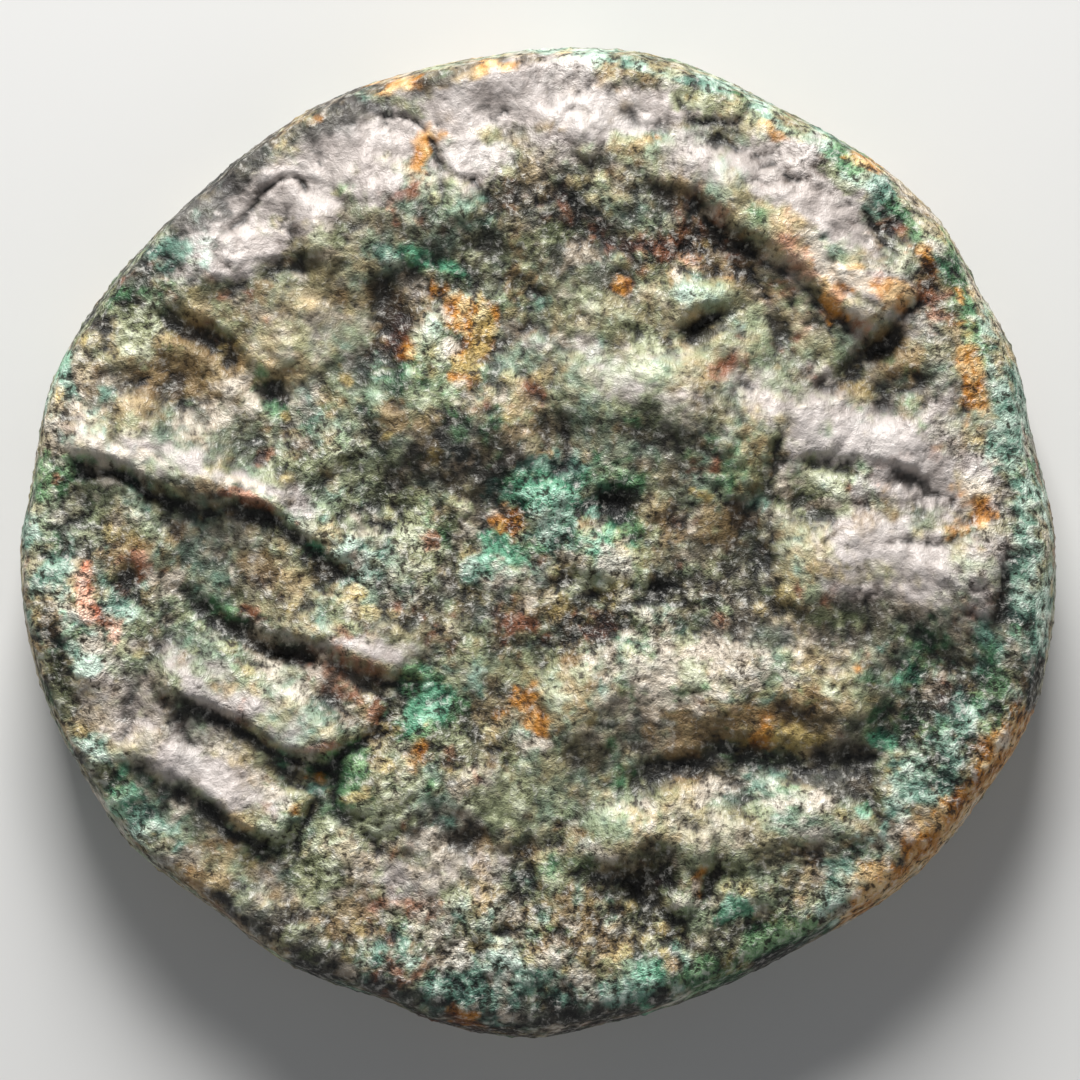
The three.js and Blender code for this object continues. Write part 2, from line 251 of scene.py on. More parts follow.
@dataclass(frozen=True)
class Ridge:
    """A struck ridge, or a furrow where its height is negative, along a line from start to end.

    above and below are how far it slopes away on its left and its right. bow bends the line to its
    left, bite hollows the slope on the wider side, and head and tail are the shares of its length
    over which its ends die away.
    """

    STEPS: ClassVar[int] = 12
    SLOPE_WIDTH: ClassVar[Rise] = Rise(0.55, 0.45)
    FOOT: ClassVar[Rise] = Rise(1, 0.6)

    start: tuple[float, float]
    end: tuple[float, float]
    height: float
    above: float
    below: float
    bow: float = 0.0
    bite: float = 0.0
    head: float = 0.3
    tail: float = 0.3
    crest_round: float = 0.09

    def crest_line(self) -> np.ndarray:
        """The points of the crest line, an even bend that stands off by bow at its middle.

        Returns:
            STEPS + 1 points in mm.
        """
        share = np.linspace(0.0, 1.0, self.STEPS + 1)[:, None]
        along = np.array(self.end) - np.array(self.start)
        left = np.array([-along[1], along[0]]) / np.hypot(*along)
        return np.array(self.start) + along * share + left * 4 * self.bow * share * (1 - share)

    def nearest(self, x: np.ndarray, y: np.ndarray) -> tuple[np.ndarray, np.ndarray, np.ndarray]:
        """Where places lie against the crest line.

        Args:
            x: places in mm.
            y: places in mm.

        Returns:
            Distances from the line, whether they are on its left, and how far along it they are.
        """
        line = self.crest_line()
        best = np.full(x.shape, np.inf)
        left = np.zeros(x.shape, bool)
        along = np.zeros(x.shape)
        for index, ((ax, ay), (bx, by)) in enumerate(zip(line[:-1], line[1:])):
            dx, dy = bx - ax, by - ay
            t = np.clip(((x - ax) * dx + (y - ay) * dy) / (dx * dx + dy * dy), 0.0, 1.0)
            distance = np.hypot(x - ax - t * dx, y - ay - t * dy)
            closer = distance < best
            best[closer] = distance[closer]
            left[closer] = (dx * (y - ay) - dy * (x - ax) > 0)[closer]
            along[closer] = ((index + t) / self.STEPS)[closer]
        return best, left, along

    def height_at(self, x: np.ndarray, y: np.ndarray) -> np.ndarray:
        """Height that the ridge adds.

        Args:
            x: places in mm.
            y: places in mm.

        Returns:
            Heights in mm.
        """
        line = self.crest_line()
        reach = max(self.above, self.below) + self.crest_round
        low, high = line.min(axis=0) - reach, line.max(axis=0) + reach
        near = (x > low[0]) & (x < high[0]) & (y > low[1]) & (y < high[1])
        distance, left, along = self.nearest(x[near], y[near])
        end = np.minimum(np.clip(along / self.head, 0, 1), np.clip((1 - along) / self.tail, 0, 1))
        taper = np.sqrt(1 - (1 - end) ** 2)
        rounded = np.hypot(distance, self.crest_round) - self.crest_round
        width = np.where(left, self.above, self.below) * self.SLOPE_WIDTH.at(taper)
        t = np.clip(rounded / width, 0.0, 1.0)
        wider_left = self.above > self.below
        hollowed = np.where(left == wider_left, self.bite, 0.0) if self.above != self.below else 0.0
        section = (1 - smooth(t)) * (1 - hollowed) + (1 - t) ** 2 * self.FOOT.at(t) * hollowed
        out = np.zeros_like(x)
        out[near] = self.height * section * smooth(taper)
        return out


@dataclass(frozen=True)
class Swell:
    """A round swelling, or a hollow where its height is negative.

    turn is the bearing of its first radius, and edge is the share of the radius over which it
    slopes: 1 makes a soft mound, less makes a flat-topped one.
    """

    centre: tuple[float, float]
    radii: tuple[float, float]
    height: float
    turn: float = 0.0
    edge: float = 1.0

    def distance(self, x: np.ndarray, y: np.ndarray) -> np.ndarray:
        """Distance from the centre, which is 1 all round the rim.

        Args:
            x: places in mm.
            y: places in mm.

        Returns:
            Distances in shares of the radius there.
        """
        c, s = math.cos(math.radians(self.turn)), math.sin(math.radians(self.turn))
        dx, dy = x - self.centre[0], y - self.centre[1]
        return np.hypot((dx * c + dy * s) / self.radii[0], (dy * c - dx * s) / self.radii[1])

    def height_at(self, x: np.ndarray, y: np.ndarray) -> np.ndarray:
        """Height that the swelling adds in mm."""
        return self.height * (1 - smooth((self.distance(x, y) - (1 - self.edge)) / self.edge))


# The struck head, from the face's top left down: ruff, locks, eye, muzzle, jaw
RIDGES: dict[str, Ridge] = {
    "ruff_left": Ridge((-6, 4.4), (-3.4, 5.1), 0.2, 1.3, 0.4, bow=0.15),
    "ruff_middle": Ridge((-4.15, 5.1), (-1, 6.15), 0.28, 1.4, 1.2, bow=-0.12),
    "ruff_top": Ridge((-1.7, 6.4), (2.1, 6.7), 0.3, 1.2, 1.7, head=0.25),
    "ruff_right": Ridge((1.75, 6.35), (3.6, 5.9), 0.18, 1, 0.4, bow=0.1),
    "brow": Ridge((2.8, 6.15), (6.2, 3.6), 0.46, 1.7, 0.46, bow=0.15, head=0.35, tail=0.25),
    "brow_rim": Ridge((4.05, 6.85), (6.4, 4.95), 0.12, 0.5, 0.3, bow=0.25),
    "first_groove": Ridge((-6.7, 4.25), (-4.3, 2.3), -0.22, 0.3, 0.3),
    "lobe_line": Ridge((-5.8, 4.4), (-3.65, 4.8), -0.1, 0.2, 0.25, bow=0.08),
    "first_lock": Ridge((-8.2, 1.85), (-4.25, 0.6), 0.42, 1.1, 0.34,
        bow=-0.05, bite=0.5, head=0.4, tail=0.25),
    "first_lock_tip": Ridge((-4.7, 0.75), (-2.9, -0.55), 0.22, 0.7, 0.3,
        bow=0.05, bite=0.4, head=0.5, tail=0.35),
    "first_lock_spur": Ridge((-4.35, 0.7), (-3.3, 1.8), 0.14, 0.7, 0.3, bow=0.05, bite=0.3, tail=0.4),
    "second_lock": Ridge((-5, -1.25), (-2, -2.05), 0.28, 0.9, 0.34,
        bow=-0.06, bite=0.4, head=0.4, tail=0.4),
    "second_groove": Ridge((-6.35, -0.85), (-3.7, -2.1), -0.2, 0.3, 0.3, bow=-0.05, head=0.45),
    "third_lock": Ridge((-6.6, -2.1), (-3.5, -3.6), 0.36, 0.95, 0.3,
        bow=-0.05, bite=0.4, head=0.45, tail=0.2),
    "third_lock_tip": Ridge((-3.85, -3.55), (-2.7, -2.65), 0.22, 0.7, 0.3, bow=-0.08, bite=0.3),
    "fourth_lock": Ridge((-7.2, -3.35), (-4.35, -5.1), 0.34, 1, 0.32,
        bow=-0.05, bite=0.3, head=0.45, tail=0.25),
    "fourth_lock_tip": Ridge((-4.5, -5.1), (-4, -4.35), 0.18, 0.5, 0.3, bow=-0.05, bite=0.2),
    "temple": Ridge((-2.85, 2.3), (0.4, 1.8), 0.3, 1.9, 1.4, bow=0.1, tail=0.35),
    "temple_furrow": Ridge((-2.8, 4.7), (-2.4, 2.25), -0.16, 0.4, 0.35, bow=0.05),
    "cheek": Ridge((0.3, 2.65), (4.15, 1.6), 0.3, 2, 2.6, bow=0.05, head=0.35),
    "under_eye": Ridge((-0.15, 2.85), (3.7, 1.8), 0.12, 1.2, 0.6, bow=0.05),
    "snout": Ridge((3.5, 1.95), (8.05, 1.25), 0.16, 1.2, 0.8, bow=0.05, tail=0.2),
    "muzzle": Ridge((4.05, -0.45), (8.05, -0.8), 0.34, 1.5, 1.3, head=0.25, tail=0.15),
    "eye_corner": Ridge((4.65, 2.5), (6.4, 3.6), -0.2, 0.3, 0.35, bow=-0.05, tail=0.2),
    "corner_crease": Ridge((5.6, 2.5), (6.9, 2.9), -0.1, 0.2, 0.3),
    "nostril_arch": Ridge((4.55, 1.3), (6.6, 0.9), -0.12, 0.16, 0.2, bow=0.3),
    "upper_lip": Ridge((0.05, -2.75), (6.4, -2.4), 0.3, 1.1, 1.3, bow=0.1, head=0.25, tail=0.25),
    "mouth": Ridge((1.6, -4.2), (5.95, -3.85), -0.18, 0.35, 0.4, bow=0.28),
    "lower_jaw": Ridge((0.55, -5.3), (5.95, -4.75), 0.3, 0.9, 0.6, bow=-0.05, head=0.25, tail=0.25),
    "chin_curl": Ridge((2.8, -4.9), (2.25, -6.3), 0.26, 0.45, 0.35, bow=0.05),
    "chin_furrow": Ridge((2.05, -5.2), (1.75, -6.25), -0.15, 0.4, 0.4, bow=0.05),
    "throat_furrow": Ridge((-0.4, -5.1), (-0.5, -6.85), -0.15, 0.35, 0.4, bow=0.25),
    "jowl_fold": Ridge((-3.45, -4.4), (-0.65, -3.85), 0.24, 1.4, 0.7),
    "lower_margin": Ridge((-5.4, -6.15), (-1.55, -7.7), 0.18, 0.8, 0.6, bow=-0.3),
    "left_margin": Ridge((-8.35, -0.3), (-7.5, -3.95), 0.16, 0.6, 0.5, bow=0.1),
}
SWELLS: dict[str, Swell] = {
    "eyeball": Swell((2.8, 4.25), (0.95, 0.6), 0.28, edge=0.9),
    "eye_pit": Swell((2.95, 3.65), (0.62, 0.5), -0.24, turn=20),
    "socket_side": Swell((4.15, 3.65), (0.6, 0.9), -0.14, turn=30),
    "lower_lid": Swell((2.25, 2.9), (0.7, 0.35), 0.1, turn=-10, edge=0.8),
    "eye_corner_hollow": Swell((5.8, 2.4), (1.2, 0.6), -0.1),
    "temple_hollow": Swell((6.05, 5.45), (0.8, 0.6), -0.16),
    "temple_lump": Swell((-1.7, 3.65), (0.7, 0.8), 0.12),
    "forehead_mound": Swell((-4.15, 3.45), (1.3, 1), 0.1),
    "first_lock_hollow": Swell((-6.45, 2.75), (1.9, 0.75), -0.14, turn=-8),
    "first_lock_end": Swell((-2.9, -0.1), (0.5, 0.4), 0.14),
    "green_nodule": Swell((0.15, 0.75), (0.75, 0.65), 0.24, edge=0.9),
    "pale_nodule": Swell((1.15, -0.25), (0.85, 0.62), 0.26, edge=0.9),
    "nodule_hole": Swell((1.25, 0.6), (0.62, 0.4), -0.28, edge=0.9),
    "jowl_hollow": Swell((2.15, -1), (0.6, 0.42), -0.2),
    "nostril": Swell((4.95, 0.9), (0.55, 0.4), 0.14, turn=-10, edge=0.7),
    "nostril_back": Swell((5.95, 0.5), (0.6, 0.4), -0.1, turn=-35),
    "crust_patch": Swell((0.65, -1.2), (0.9, 0.5), 0.06, edge=0.8),
    "ruff_knob": Swell((0.8, 6.85), (0.32, 0.25), 0.12, edge=0.6),
    "fourth_lock_hollow": Swell((-3.45, -4.05), (0.6, 0.5), -0.12, turn=-20),
    "throat_hollow": Swell((-1.3, -5.3), (1, 0.6), -0.14),
    "neck_lump": Swell((0.4, -7.35), (1.05, 0.7), 0.16),
    "margin_mound": Swell((-3.4, -5.45), (0.9, 0.8), 0.14),
    "chin_lump": Swell((3.5, -6.25), (1, 0.8), 0.14),
    "left_mound": Swell((-7.65, -2.25), (1, 0.85), 0.14),
    "left_hollow": Swell((-7.15, -0.8), (0.85, 0.7), -0.12),
}
# Thin cracks between the flat lobes of the ruff and over the brow, and how round their bottoms are
CRACK_ROUND = 0.01
CRACKS: tuple[Crack, ...] = (
    ((-5.50, 5.20), (-4.10, 6.48), 0.10, 0.13, 0.15), ((-5.50, 5.25), (-5.10, 4.77), 0.11, 0.13, -0.10),
    ((-4.15, 6.45), (-3.85, 6.05), 0.08, 0.10, 0.05), ((-3.10, 7.25), (-1.77, 7.05), 0.07, 0.10, 0.12),
    ((-1.77, 7.05), (-1.55, 6.42), 0.12, 0.12, -0.08), ((-1.58, 6.45), (-0.95, 6.22), 0.12, 0.13, -0.06),
    ((-2.15, 7.75), (-1.60, 7.20), 0.06, 0.09, 0.05), ((2.26, 7.70), (2.56, 7.22), 0.06, 0.09, 0.05),
    ((2.56, 7.22), (4.02, 7.42), 0.07, 0.10, -0.10), ((3.05, 6.84), (3.62, 6.54), 0.06, 0.09, 0.05),
    ((4.60, 6.54), (5.19, 5.95), 0.07, 0.10, 0.08), ((5.19, 5.95), (6.17, 4.97), 0.08, 0.10, 0.12),
    ((5.00, 4.95), (5.90, 3.95), 0.07, 0.09, -0.05), ((-8.00, 1.20), (-6.30, 0.72), 0.08, 0.12, 0.05),
    ((0.35, 7.05), (0.95, 7.20), 0.08, 0.12, 0.20), ((5.90, -0.20), (7.60, 0.10), 0.05, 0.10, 0.10),
)
# The shallow remains of a punch
UNDERSIDE_HOLLOWS: dict[str, Swell] = {
    "punch_upper": Swell((-0.6, 4.6), (4.1, 1.35), 0.26, turn=6),
    "punch_left": Swell((-4.9, -0.4), (2.9, 1.25), 0.24, turn=84),
    "punch_lower": Swell((0.7, -4.7), (3.7, 1.20), 0.22, turn=-9),
    "punch_right": Swell((5.0, 0.5), (2.7, 1.15), 0.24, turn=97),
}


@dataclass(frozen=True)
class Flakes:
    """Flakes of crust that end in low, ragged steps where their pattern crosses the level."""

    grain: Grain
    level: float
    edge: float

    def at(self, x: np.ndarray, y: np.ndarray) -> np.ndarray:
        """1 on a flake, -1 where one has fallen off, 0 between them.

        Args:
            x: places in mm.
            y: places in mm.

        Returns:
            Numbers from -1 to 1.
        """
        hills = self.grain.at(x, y)
        return risen(hills, self.level, self.edge) - risen(-hills, self.level, self.edge)


@dataclass(frozen=True)
class Relief:
    """Heights of the coin's two faces in mm."""

    face_height: float = 2.80
    face_dome: float = 0.3
    dome_radius: float = 9.02
    flat_radius: float = 2.2
    ragged: float = 0.05
    ragged_x: Grain = Grain(11, 0.7, 4, 0.6)
    ragged_y: Grain = Grain(12, 0.7, 4, 0.6)
    flake_height: float = 0.032
    flakes: tuple[Flakes, ...] = (
        Flakes(Grain(31, 2.1, 5, 0.55), 0.12, 0.05),
        Flakes(Grain(32, 1.2, 5, 0.55), 0.20, 0.07),
        Flakes(Grain(33, 0.7, 5, 0.55), 0.25, 0.10),
    )
    clot_height: float = 0.05
    clot_fields: Grain = Grain(14, 1.9, 4)
    clot_field_slope: Rise = Rise(0.5, 1.3)
    clot_pick: Step = Step(0.35, 0.3)
    # Waves of size, wave in X, wave in Y and phase
    wander_x: tuple[tuple[float, ...], ...] = ((0.07, 1.9, 2.3, 0.7), (0.05, -4.1, 3.3, 2.1))
    wander_y: tuple[tuple[float, ...], ...] = ((0.07, 2.2, -1.8, 4.0), (0.05, 3.7, 4.4, 1.3))
    wander_face: tuple[tuple[float, ...], ...] = (
        (0.045, 1.1, 1.7, 0.4), (0.035, -2.6, 1.9, 2.6), (0.025, 3.4, 2.9, 5.1),
    )

    @staticmethod
    def swing(waves: tuple[tuple[float, ...], ...], x: np.ndarray, y: np.ndarray) -> np.ndarray:
        """Sum of sine waves of size, wave in X, wave in Y and phase."""
        return sum(size * np.sin(kx * x + ky * y + phase) for size, kx, ky, phase in waves)

    def face(self, x: np.ndarray, y: np.ndarray) -> np.ndarray:
        """Height of the figured face.

        Args:
            x: places in mm.
            y: places in mm.

        Returns:
            Heights in mm.
        """
        wx = x + self.swing(self.wander_x, x, y) + self.ragged * self.ragged_x.at(x, y)
        wy = y + self.swing(self.wander_y, x, y) + self.ragged * self.ragged_y.at(x, y)
        z = self.face_height - self.face_dome * (np.hypot(x, y) / self.dome_radius) ** 2
        dome, pick, _ = LARGE_CLOTS.at(x, y)
        clotted = smooth(self.clot_field_slope.at(self.clot_fields.at(x, y)))
        flaked = self.flake_height * sum(flakes.at(x, y) for flakes in self.flakes)
        z = z + self.swing(self.wander_face, x, y) + flaked
        z = z + self.clot_height * dome * clotted * self.clot_pick.at(pick)
        for form in [*RIDGES.values(), *SWELLS.values()]:
            z = z + form.height_at(wx, wy)
        for start, end, depth, width, bow in CRACKS:
            crack = Ridge(start, end, -depth, width, width, bow=bow, crest_round=CRACK_ROUND)
            z = z + crack.height_at(wx, wy)
        return z

    def underside(self, x: np.ndarray, y: np.ndarray) -> np.ndarray:
        """Height of the underside, which is 0 where it is worn flat.

        Args:
            x: places in mm.
            y: places in mm.

        Returns:
            Heights in mm.
        """
        z = sum(hollow.height_at(x, y) for hollow in UNDERSIDE_HOLLOWS.values())
        return np.where(np.hypot(x, y) < self.flat_radius, 0.0, z)


@dataclass(frozen=True)
class Inset:
    """Width of a rounded edge, from the face to the silhouette, which changes around the flan."""

    mean: float
    sway: float
    widest_at: float

    def at(self, bearing: np.ndarray) -> np.ndarray:
        """Width in mm at bearings in degrees."""
        return self.mean + self.sway * np.cos(np.radians(bearing - self.widest_at))


@dataclass(frozen=True)
class Flan:
    """The struck disc as one closed mesh of rings, from the face's middle to the underside's."""

    relief: Relief = Relief()
    # Bearing in degrees and radius in mm
    stations: tuple[tuple[float, float], ...] = (
        (0, 9.02), (12, 8.82), (22, 8.92), (30, 8.86), (40, 8.97), (60, 8.66), (76, 8.73),
        (98, 8.49), (114, 8.51), (132, 8.45), (146, 8.61), (162, 8.88), (172, 8.83), (181, 8.98),
        (198, 8.96), (208, 8.84), (216, 8.82), (229, 8.5), (240, 8.52), (251, 8.4), (259, 8.55),
        (270, 8.64), (278, 8.48), (297, 8.4), (307, 8.5), (314, 8.7), (330, 8.94), (341, 9.15),
        (350, 9.1),
    )
    shoulder: Inset = Inset(0.62, 0.22, -30)
    heel: Inset = Inset(0.70, 0.14, 150)
    girdle_height: float = 1.45
    girdle_sway: float = 0.16
    girdle_waves: int = 2
    girdle_phase: float = 40
    power: float = 2.4
    face_spacing: float = 0.062
    shoulder_spacing: float = 0.08
    shoulder_arc: float = 1.5
    heel_spacing: float = 0.15
    heel_arc: float = 1.6
    underside_spacing: float = 0.2
    fewest_points: int = 6

    def outline(self, bearing: np.ndarray) -> np.ndarray:
        """Silhouette radius: a smooth closed curve through the stations.

        Args:
            bearing: bearings from +X in degrees.

        Returns:
            Radii in mm.
        """
        table = np.array(self.stations, float)
        wide = np.vstack([table[-2:] - (360, 0), table, table[:2] + (360, 0)])
        angle = np.mod(bearing, 360.0)
        i = np.searchsorted(table[:, 0], angle, side="right") + 1
        (a0, r0), (a1, r1), (a2, r2), (a3, r3) = (wide[i + k].T for k in (-1, 0, 1, 2))
        span = a2 - a1
        t = (angle - a1) / span
        slope1, slope2 = (r2 - r0) / (a2 - a0) * span, (r3 - r1) / (a3 - a1) * span
        leave, arrive = t * (1 - t) ** 2 * slope1, t * t * (t - 1) * slope2
        return r1 + (r2 - r1) * smooth(t) + leave + arrive

    def face_rim(self, inset: Inset, share: float, bearing: np.ndarray) -> tuple[np.ndarray, np.ndarray]:
        """Places at a share of the way from the middle to a face's edge.

        Args:
            inset: the rounded edge that the face ends at.
            share: 0 at the middle, 1 at the face's edge.
            bearing: bearings from +X in degrees.

        Returns:
            X and Y in mm.
        """
        radius = share * (self.outline(bearing) - inset.at(bearing))
        angle = np.radians(bearing)
        return radius * np.cos(angle), radius * np.sin(angle)

    def face_ring(self, share: float, bearing: np.ndarray) -> np.ndarray:
        """A ring of the figured face."""
        x, y = self.face_rim(self.shoulder, share, bearing)
        return np.stack([x, y, self.relief.face(x, y)], axis=1)

    def underside_ring(self, share: float, bearing: np.ndarray) -> np.ndarray:
        """A ring of the underside."""
        x, y = self.face_rim(self.heel, share, bearing)
        return np.stack([x, y, self.relief.underside(x, y)], axis=1)

    def edge_ring(self, upper: bool, quarter: float, bearing: np.ndarray) -> np.ndarray:
        """A ring of the rounded edge.

        Args:
            upper: True above the widest line, False below it.
            quarter: 0 at the face or the underside, 1 at the widest line.
            bearing: bearings of the ring's points in degrees.

        Returns:
            Points in mm.
        """
        inset, rim = (self.shoulder, self.face_ring) if upper else (self.heel, self.underside_ring)
        angle = quarter * math.pi / 2
        out, drop = math.sin(angle) ** (2 / self.power), abs(math.cos(angle)) ** (2 / self.power)
        ring = rim(1.0, bearing)
        scale = 1 + inset.at(bearing) * out / np.hypot(ring[:, 0], ring[:, 1])
        wave = np.sin(np.radians(self.girdle_waves * bearing + self.girdle_phase))
        girdle = self.girdle_height + self.girdle_sway * wave
        height = girdle + (ring[:, 2] - girdle) * drop
        return np.stack([ring[:, 0] * scale, ring[:, 1] * scale, height], axis=1)

    def bearings(self, radius: float, spacing: float) -> np.ndarray:
        """Evenly spread bearings for a ring.

        Args:
            radius: the ring's radius in mm.
            spacing: about how far apart its points are in mm.

        Returns:
            Bearings in degrees.
        """
        count = max(self.fewest_points, round(2 * math.pi * radius / spacing))
        return 360.0 * np.arange(count) / count

    def rings(self) -> list[np.ndarray]:
        """All rings of the flan.

        Returns:
            Rings of points in mm, from the middle of the figured face to the middle of the underside.
        """
        mean = float(np.mean([radius for _, radius in self.stations]))
        made = [self.face_ring(0.0, np.zeros(1))]
        radius = mean - self.shoulder.mean
        steps = round(radius / self.face_spacing)
        for k in range(1, steps + 1):
            made.append(self.face_ring(k / steps, self.bearings(radius * k / steps, self.face_spacing)))
        steps = round(self.shoulder_arc / self.shoulder_spacing)
        for k in range(1, steps + 1):
            made.append(self.edge_ring(True, k / steps, self.bearings(mean, self.shoulder_spacing)))
        steps = round(self.heel_arc / self.heel_spacing)
        for k in range(steps - 1, 0, -1):
            made.append(self.edge_ring(False, k / steps, self.bearings(mean, self.heel_spacing)))
        radius = mean - self.heel.mean
        steps = round(radius / self.underside_spacing)
        for k in range(steps, 0, -1):
            around = self.bearings(radius * k / steps, self.underside_spacing)
            made.append(self.underside_ring(k / steps, around))
        made.append(self.underside_ring(0.0, np.zeros(1)))
        return made

    @staticmethod
    def zip_rings(
        first: int, first_count: int, second: int, second_count: int,
    ) -> list[tuple[int, int, int]]:
        """Triangles between neighbouring rings, which may hold different numbers of points.

        Args:
            first: index of the first ring's first point.
            first_count: number of its points.
            second: index of the second ring's first point.
            second_count: number of its points.

        Returns:
            Triangles that face out of the coin.
        """
        made = []
        i = j = 0
        first_sides = first_count if first_count > 1 else 0
        second_sides = second_count if second_count > 1 else 0
        while i < first_sides or j < second_sides:
            a, b = first + i % first_count, second + j % second_count
            advance_first = j >= second_sides or (
                i < first_sides and (i + 1) / first_count <= (j + 1) / second_count
            )
            if advance_first:
                made.append((a, b, first + (i + 1) % first_count))
                i += 1
            else:
                made.append((a, b, second + (j + 1) % second_count))
                j += 1
        return made

    def build(self, name: str) -> bpy.types.Object:
        """Makes the mesh, with the middle of its underside at the origin.

        Args:
            name: the object's name.

        Returns:
            The new object, linked to the scene.
        """
        rings = self.rings()
        points = np.vstack(rings)
        middle = (points.min(axis=0) + points.max(axis=0)) / 2
        points = points - (middle[0], middle[1], points[:, 2].min())
        triangles: list[tuple[int, int, int]] = []
        first = 0
        for ring, following in zip(rings[:-1], rings[1:]):
            second = first + len(ring)
            triangles += self.zip_rings(first, len(ring), second, len(following))
            first = second
        mesh = bpy.data.meshes.new(name)
        mesh.from_pydata((points * MM).tolist(), [], triangles)
        mesh.update()
        made = bpy.data.objects.new(name, mesh)
        bpy.context.scene.collection.objects.link(made)
        return made


class Crust(Enum):
    """What has grown on, or shows through, the bronze."""

    RUST = "rust"
    CUPRITE = "cuprite"
    COPPER = "copper"
    VERDIGRIS = "verdigris"
    MALACHITE = "malachite"
    TURQUOISE = "turquoise"
    PALE_GREEN = "pale_green"
    SINTER = "sinter"
    OCHRE = "ochre"
    EARTH = "earth"
    # Mostly painted shade, laid in hollows, furrows and along the coin's lower edge, with some dark crust
    DARK = "dark"
    # Pale smooth bronze, partly a painted sheen
    SHEEN = "sheen"


@dataclass(frozen=True)
class Layer:
    """One kind of crust: its tones where it is sunk, level and raised, and how it lies. The sunk and raised
    tones are partly painted shade and painted highlight.

    ragged is how far noise eats into its edge, soft is how gradually it stops there, scatter is how
    readily it also grows in small stray patches, and bare is how much metal shows in it.
    """

    kind: Crust
    deep: Tone
    main: Tone
    pale: Tone
    opacity: float
    ragged: float = 0.6
    soft: float = 0.5
    scatter: float = 0.3
    bare: float = 0.1


# The crusts, from the lowest to the one that covers all others
LAYERS: tuple[Layer, ...] = (
    # Pale smooth bronze, partly a painted sheen
    Layer(Crust.SHEEN, (112, 102, 96), (176, 167, 162), (198, 190, 186), 0.94, 0.6, 0.6, 0.2, 0.10),
    Layer(Crust.EARTH, (58, 42, 26), (128, 106, 76), (178, 156, 122), 0.85, 0.8, 0.5, 0.45),
    # Mostly painted shade, with some dark crust
    Layer(Crust.DARK, (14, 14, 14), (42, 42, 40), (78, 76, 70), 0.85, 0.7, 0.5, 0.25),
    Layer(Crust.PALE_GREEN, (80, 86, 60), (150, 154, 122), (206, 210, 186), 0.82, 0.9, 0.4, 0.3),
    Layer(Crust.VERDIGRIS, (30, 58, 50), (112, 146, 130), (200, 220, 206), 0.86, 0.9, 0.5, 0.2),
    Layer(Crust.MALACHITE, (12, 32, 20), (54, 96, 62), (134, 172, 128), 0.85, 0.9, 0.4, 0.2),
    Layer(Crust.TURQUOISE, (18, 62, 44), (96, 150, 120), (166, 208, 184), 0.88, 0.8, 0.45, 0.06),
    Layer(Crust.RUST, (104, 56, 22), (190, 130, 66), (230, 198, 152), 0.86, 1.0, 0.7, 0.08),
    Layer(Crust.CUPRITE, (52, 28, 20), (122, 76, 56), (196, 150, 128), 0.85, 0.9, 0.4, 0.25),
    Layer(Crust.SINTER, (136, 122, 104), (200, 189, 174), (228, 220, 208), 0.85, 0.9, 0.4, 0.3),
    Layer(Crust.OCHRE, (112, 94, 58), (180, 160, 108), (220, 206, 166), 0.82, 0.6, 0.4, 0.2),
    Layer(Crust.COPPER, (150, 84, 64), (204, 134, 108), (236, 198, 178), 0.85, 0.9, 0.4, 0.0, 0.3),
)
SMOOTH_BRONZE_AND_SHEEN = LAYERS[0]

